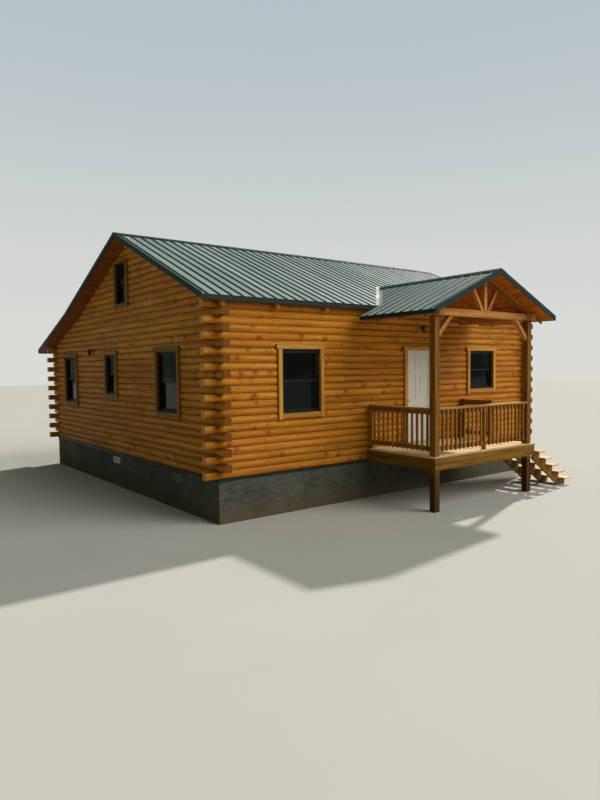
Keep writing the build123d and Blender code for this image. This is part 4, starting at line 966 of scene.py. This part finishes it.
# %% Two lanterns
def lantern(name, node, turn):
    """A lantern at the middle of a CAD lantern's back plate, turned to face away from the wall."""
    low, high = (Vector(c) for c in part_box(node))
    seat = (low + high) / 2
    if turn:
        seat.x = high.x
    else:
        seat.y = high.y
    stand = Matrix.Translation(seat) @ Matrix.Rotation(turn, 4, "Z")
    tall, reach = PLATE_TALL / 2, LANTERN_OUT - PLATE_T
    block, cast, glass = bmesh.new(), bmesh.new(), bmesh.new()
    cube(block, Matrix.Translation((0, -PLATE_T / 2, 0)), (PLATE_W, PLATE_T, PLATE_TALL))
    rose = Matrix.Translation((0, -PLATE_T - ROSE_T / 2, SHOULDER)) @ Matrix.Rotation(QUARTER, 4, "X")
    bmesh.ops.create_cone(cast, cap_ends=True, segments=16, radius1=ROSE, radius2=ROSE_FACE,
                          depth=ROSE_T, matrix=rose)
    cube(cast, Matrix.Translation((0, -PLATE_T - reach / 2, SHOULDER + ARM_UP)), (ARM, reach, ARM))
    square_cone(cast, CAP_EAVE, CAP_TIP, SHOULDER, tall)
    foot = LAMP_FOOT + FOOT_PROUD
    square_cone(cast, foot, foot, -tall, FOOT_T - tall)
    square_cone(glass, LAMP_FOOT - GLASS_IN, LAMP_HEAD - LAMP_BAR, FOOT_T - tall, SHOULDER)
    lean = math.atan2((LAMP_HEAD - LAMP_FOOT) / 2, SHOULDER + tall)
    middle = (LAMP_FOOT + LAMP_HEAD) / 4
    for sx in BOTH:
        for sy in BOTH:
            place = Matrix.Translation((sx * middle, sy * middle - LANTERN_OUT, (SHOULDER - tall) / 2))
            tip = Matrix.Rotation(sx * lean, 4, "Y") @ Matrix.Rotation(-sy * lean, 4, "X")
            cube(cast, place @ tip, (LAMP_BAR, LAMP_BAR, SHOULDER + tall))
    for bm in (block, cast, glass):
        bmesh.ops.transform(bm, matrix=stand, verts=bm.verts[:])
    timbers(f"{name}_block", block, TRIM_PINE, "trim_wood", [node], 0.004, 21)
    soften(cast, 0.001)
    piece(f"{name}_frame", cast, LAMP_BLACK, "lamp_metal", [node])
    piece(f"{name}_glass", glass, FROSTED, "window_glass", [node])


FROSTED = frosted()
lantern("porch_lantern", "porch_light", 0.0)
lantern("gable_lantern", "gable_light", -QUARTER)

# %% [markdown]
# ## Screws in the roof
# A ribbed sheet is held by painted hex screws with a wide washer, in rows across the slope,
# one on the flat beside each rib. Their places are dropped onto the sheets from above, so
# each screw finds the surface and its slope, and none is put where the valley has cut the
# sheet away. The folded caps have one screw over every second rib on each side.

# %% Screws that find their surface
SCREW_HEAD, SCREW_TALL, WASHER, WASHER_T = 0.0045, 0.005, 0.0085, 0.0016
SUNK, GLANCING = 0.0004, -0.2
DOWN, ABOVE = (0, 0, -1), 1.0


def surface(node):
    """A CAD part's surface, ready to be met by rays."""
    bm = bmesh.new()
    bm.from_mesh(NODES[node].data)
    tree = BVHTree.FromBMesh(bm)
    bm.free()
    return tree


def meet(tree, start, way):
    """Where a ray meets a surface: a matrix with its Z along the surface's normal, or None."""
    hit, normal = tree.ray_cast(Vector(start), Vector(way))[:2]
    if hit is None or normal.dot(Vector(way)) > GLANCING:
        return None
    return Matrix.Translation(hit) @ normal.to_track_quat("Z", "Y").to_matrix().to_4x4()


def screw(bm, seat, head=SCREW_HEAD, tall=SCREW_TALL, washer=WASHER, sides=6):
    """A head over a washer, standing on a surface."""
    top = seat @ Matrix.Translation((0, 0, WASHER_T + tall / 2 - SUNK))
    under = seat @ Matrix.Translation((0, 0, WASHER_T / 2 - SUNK))
    bmesh.ops.create_cone(bm, cap_ends=True, segments=sides, radius1=head, radius2=head * 0.86,
                          depth=tall, matrix=top)
    bmesh.ops.create_cone(bm, cap_ends=True, segments=8, radius1=washer, radius2=washer * 0.8,
                          depth=WASHER_T, matrix=under)


def drop(bm, tree, x, y, top):
    """Puts a screw where a surface is met from above, and says whether it was."""
    seat = meet(tree, (x, y, top + ABOVE), DOWN)
    if seat:
        screw(bm, seat)
    return bool(seat)


def steps(start, end, pitch):
    """Evenly spaced places from start up to end."""
    return [start + i * pitch for i in range(int((end - start) / pitch) + 1)]


# %% Screws of the sheets
ROW, ROW_FIRST, ROW_LAST, RIB_SIDE = 0.600, 0.14, 0.06, 0.024
roof_screws, count = bmesh.new(), 0
for node, across in (("front_roof_sheet", 0), ("rear_roof_sheet", 0),
                     ("lower_rear_roof_sheet", 0), ("porch_roof_sheets", 1)):
    tree, (low, high) = surface(node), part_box(node)
    along = 1 - across
    for rib in steps(low[across] + RIB_FIRST + RIB_FOOT / 2 + RIB_SIDE, high[across], RIB_PITCH):
        for row in steps(low[along] + ROW_FIRST, high[along] - ROW_LAST, ROW):
            x, y = (row, rib) if across else (rib, row)
            count += drop(roof_screws, tree, x, y, high[2])
piece("roof_screws", roof_screws, GREEN_TRIM, "green_metal")
print(count, "screws in the sheets")

# %% Screws of the folded caps
RIDGE_LINE, CAP_SIDE, CAP_LAST, PORCH_CAP_END = 3.805, 0.115, 0.05, 0.9
cap_screws, caps_tree = bmesh.new(), surface("ridge_caps")
cap_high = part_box("ridge_caps")[1]
spots = [(x, CORNER.y + RIDGE_LINE + side * CAP_SIDE) for side in BOTH
         for x in steps(main_rib[1] + RIB_PITCH, cap_high[0] - CAP_LAST, RIB_PITCH * 2)]
spots += [(CORNER.x + PORCH_MID + side * CAP_SIDE, y) for side in BOTH
          for y in steps(porch_rib[1] + RIB_PITCH, CORNER.y + PORCH_CAP_END, RIB_PITCH * 2)]
count = sum(drop(cap_screws, caps_tree, x, y, cap_high[2]) for x, y in spots)
print(count, "screws in the caps")
piece("cap_screws", cap_screws, GREEN_TRIM, "green_metal")

# %% [markdown]
# ## Fixings of the porch
# Two deck screws hold each board on every joist, others hold the treads on the stringers,
# and one goes through each baluster into either rail. The rims are bolted to the posts with
# coach bolts. They are dull zinc and true to size. A ray from outside finds each surface.

# %% Kinds and places of fixings
# Each kind is the radius of its head, its height, the radius of its washer and its sides.
DECK_SCREW = (0.0042, 0.0012, 0.0042, 8)
COACH_BOLT = (0.010, 0.005, 0.017, 12)
JOISTS, RIM_T, DECK_X1, BOARD, LAP = 5, 0.038, 6.992, 0.140, 0.008
BOARD_SCREWS = (0.028, BOARD - 0.033)
TREAD_FIRST, TREAD_LAST, TREAD_PITCH, TREAD_LINES = 0.05, 0.04, 0.133, (0.02, 0.46, 0.90)
BOLT_ROWS, BOLT_FIRST, BOLT_SECOND = (0.160, 0.050), 0.045, 0.100
FAR_FRONT, FAR_LEFT = -3.0, 2.0
fixings, placed = bmesh.new(), []


def fasten(tree, start, way, kind=DECK_SCREW):
    """Puts a fixing where a ray from a place near the house corner meets a part."""
    seat = meet(tree, CORNER + Vector(start), way)
    if seat:
        screw(fixings, seat, *kind)
        placed.append(seat)


# %% Screws of the deck and the treads
deck = surface("porch_deck_boards")
joist_step = (INNER_X1 - INNER_X0) / (JOISTS + 1)
lines = [PORCH_X0 - RIM_T / 2, DECK_X1 - RIM_T / 2]
lines += [INNER_X0 + (i + 1) * joist_step for i in range(JOISTS)]
for edge in steps(PORCH_Y - RIM_T - LAP, -BOARD / 2, BOARD):
    for x in lines:
        for inset in BOARD_SCREWS:
            fasten(deck, (x, edge + inset, ABOVE), DOWN)
treads = surface("stair_treads")
tread_low, tread_high = (Vector(c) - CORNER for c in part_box("stair_treads"))
for x in steps(tread_low.x + TREAD_FIRST, tread_high.x - TREAD_LAST, TREAD_PITCH):
    for inset in TREAD_LINES:
        fasten(treads, (x, PORCH_Y + inset, ABOVE), DOWN)

# %% Bolts of the rims, and screws of the balusters
rims = surface("porch_frame")
for z in BOLT_ROWS:
    for x in (PORCH_X0 + BOLT_FIRST, PORCH_X0 + BOLT_SECOND,
              PORCH_X1 - BOLT_SECOND, PORCH_X1 - BOLT_FIRST):
        fasten(rims, (x, FAR_FRONT, z), (0, 1, 0), COACH_BOLT)
    for y in (PORCH_Y + BOLT_FIRST, PORCH_Y + BOLT_SECOND):
        fasten(rims, (FAR_LEFT, y, z), (1, 0, 0), COACH_BOLT)
for z in (RAIL_FOOT + RAIL_H / 2, CAP_Z - RAIL_H / 2):
    for node, along_x, way in (("front_railing", True, (0, 1, 0)),
                               ("left_railing", False, (1, 0, 0)),
                               ("right_railing", False, (-1, 0, 0))):
        tree, (low, high) = surface(node), (Vector(c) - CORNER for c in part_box(node))
        for a in BALUSTERS[node]:
            start = (a, low.y - 1, z) if along_x else ((low if way[0] > 0 else high).x - way[0], a, z)
            fasten(tree, start, way)
piece("porch_fixings", fixings, ZINC, "knob_metal")
print(len(placed), "fixings on the porch")

# %% [markdown]
# ## The camera
# The camera stands where the photograph was taken, in front of the left corner, 2.8 m up,
# looking slightly down. Its place and turn were solved from the corners of the house, which
# is surer than moving it by eye. Its lens gives the same view in a frame of 600 by 800.

# %% Camera
YAW, PITCH, ROLL = math.radians(37.249), math.radians(3.007), math.radians(-0.697)
EYE = Vector((-10.269, -13.684, 2.826))
camera_data = bpy.data.cameras.new("camera")
camera_data.lens, camera_data.sensor_width, camera_data.sensor_fit = 27.892, 36.0, "AUTO"
camera_data.clip_end = 300.0
camera = link("camera", camera_data)
camera.matrix_world = (Matrix.Translation(EYE) @ Matrix.Rotation(-YAW, 4, "Z")
                       @ Matrix.Rotation(QUARTER - PITCH, 4, "X") @ Matrix.Rotation(ROLL, 4, "Z"))
bpy.context.scene.camera = camera
print("camera at", EYE)

# %% [markdown]
# ## Light and floor
# In the photograph the light comes from the right and from a little behind the front wall,
# so the ribs of the roof throw short shadows, the treads and the edge of the deck are
# bright, and the front wall lies in soft open light. The left gable is darkest. Two lamps
# do the same here: a key with a soft edge, and a very wide fill for the front. The world
# adds a weak green light to what the key doesn't reach, as on the left gable.

# %% Light and floor
AMBIENT, AMBIENT_STRENGTH = (0.74, 0.96, 0.77, 1.0), 0.2
FLOOR_HALF = 120.0


def lamp(name, side, up, energy, width, colour):
    """A distant light. Side is measured from straight in front of the front wall, to the right."""
    data = bpy.data.lights.new(name, "SUN")
    data.energy, data.angle, data.color = energy, math.radians(width), colour
    side, up = math.radians(side), math.radians(up)
    toward = Vector((math.sin(side) * math.cos(up), -math.cos(side) * math.cos(up), math.sin(up)))
    link(name, data).rotation_euler = toward.to_track_quat("Z", "Y").to_euler()
    print("lamp", name, "from", [round(c, 2) for c in toward])


lamp("key", 109, 42, 3.4, 2, (1.0, 0.96, 0.90))
lamp("fill", 30, 33, 2.55, 50, (1.0, 0.98, 0.94))

world = bpy.data.worlds.new("studio")
bpy.context.scene.world = world
world.use_nodes = True
ambient = world.node_tree.nodes["Background"]
ambient.inputs["Color"].default_value = AMBIENT
ambient.inputs["Strength"].default_value = AMBIENT_STRENGTH
bpy.context.scene.view_settings.view_transform = "Standard"

floor_finish = Finish("studio_floor")
shade_of_floor = floor_finish.noise(floor_finish.place, 0.4, 2.0)
floor_finish.apply(floor_finish.tint(shade_of_floor, paint(176, 174, 168), paint(184, 182, 176)),
                   floor_finish.ease(shade_of_floor, 0.0, 1.0, 0.85, 0.95))
floor_mesh = bmesh.new()
bmesh.ops.create_grid(floor_mesh, x_segments=2, y_segments=2, size=FLOOR_HALF)
shown("studio_ground", floor_mesh, floor_finish)

# %% [markdown]
# ## The backdrop
# A pale studio wall would throw its own light on the dark gable. So the backdrop is a wide
# dome that only glows: it is seen by the camera from every side, and its light, shadow and
# reflection are switched off. It gets a little deeper towards the top.

# %% Backdrop
DOME = 115.0
glow = Finish("studio_backdrop", 0.0, **{"Base Color": (0, 0, 0, 1), "Emission Strength": 1.0})
lift = glow.ease(glow.split(glow.place)[2], 0.0, DOME * 0.7)
glow.feed(glow.shader.inputs["Emission Color"],
          glow.tint(lift, paint(218, 219, 214), paint(176, 190, 198)))
dome = bmesh.new()
bmesh.ops.create_uvsphere(dome, u_segments=64, v_segments=32, radius=DOME)
bmesh.ops.reverse_faces(dome, faces=dome.faces)
backdrop = shown("studio_backdrop", dome, glow)
backdrop.visible_diffuse = backdrop.visible_glossy = backdrop.visible_transmission = False
backdrop.visible_shadow = backdrop.visible_volume_scatter = False
print("backdrop", DOME, "m away")
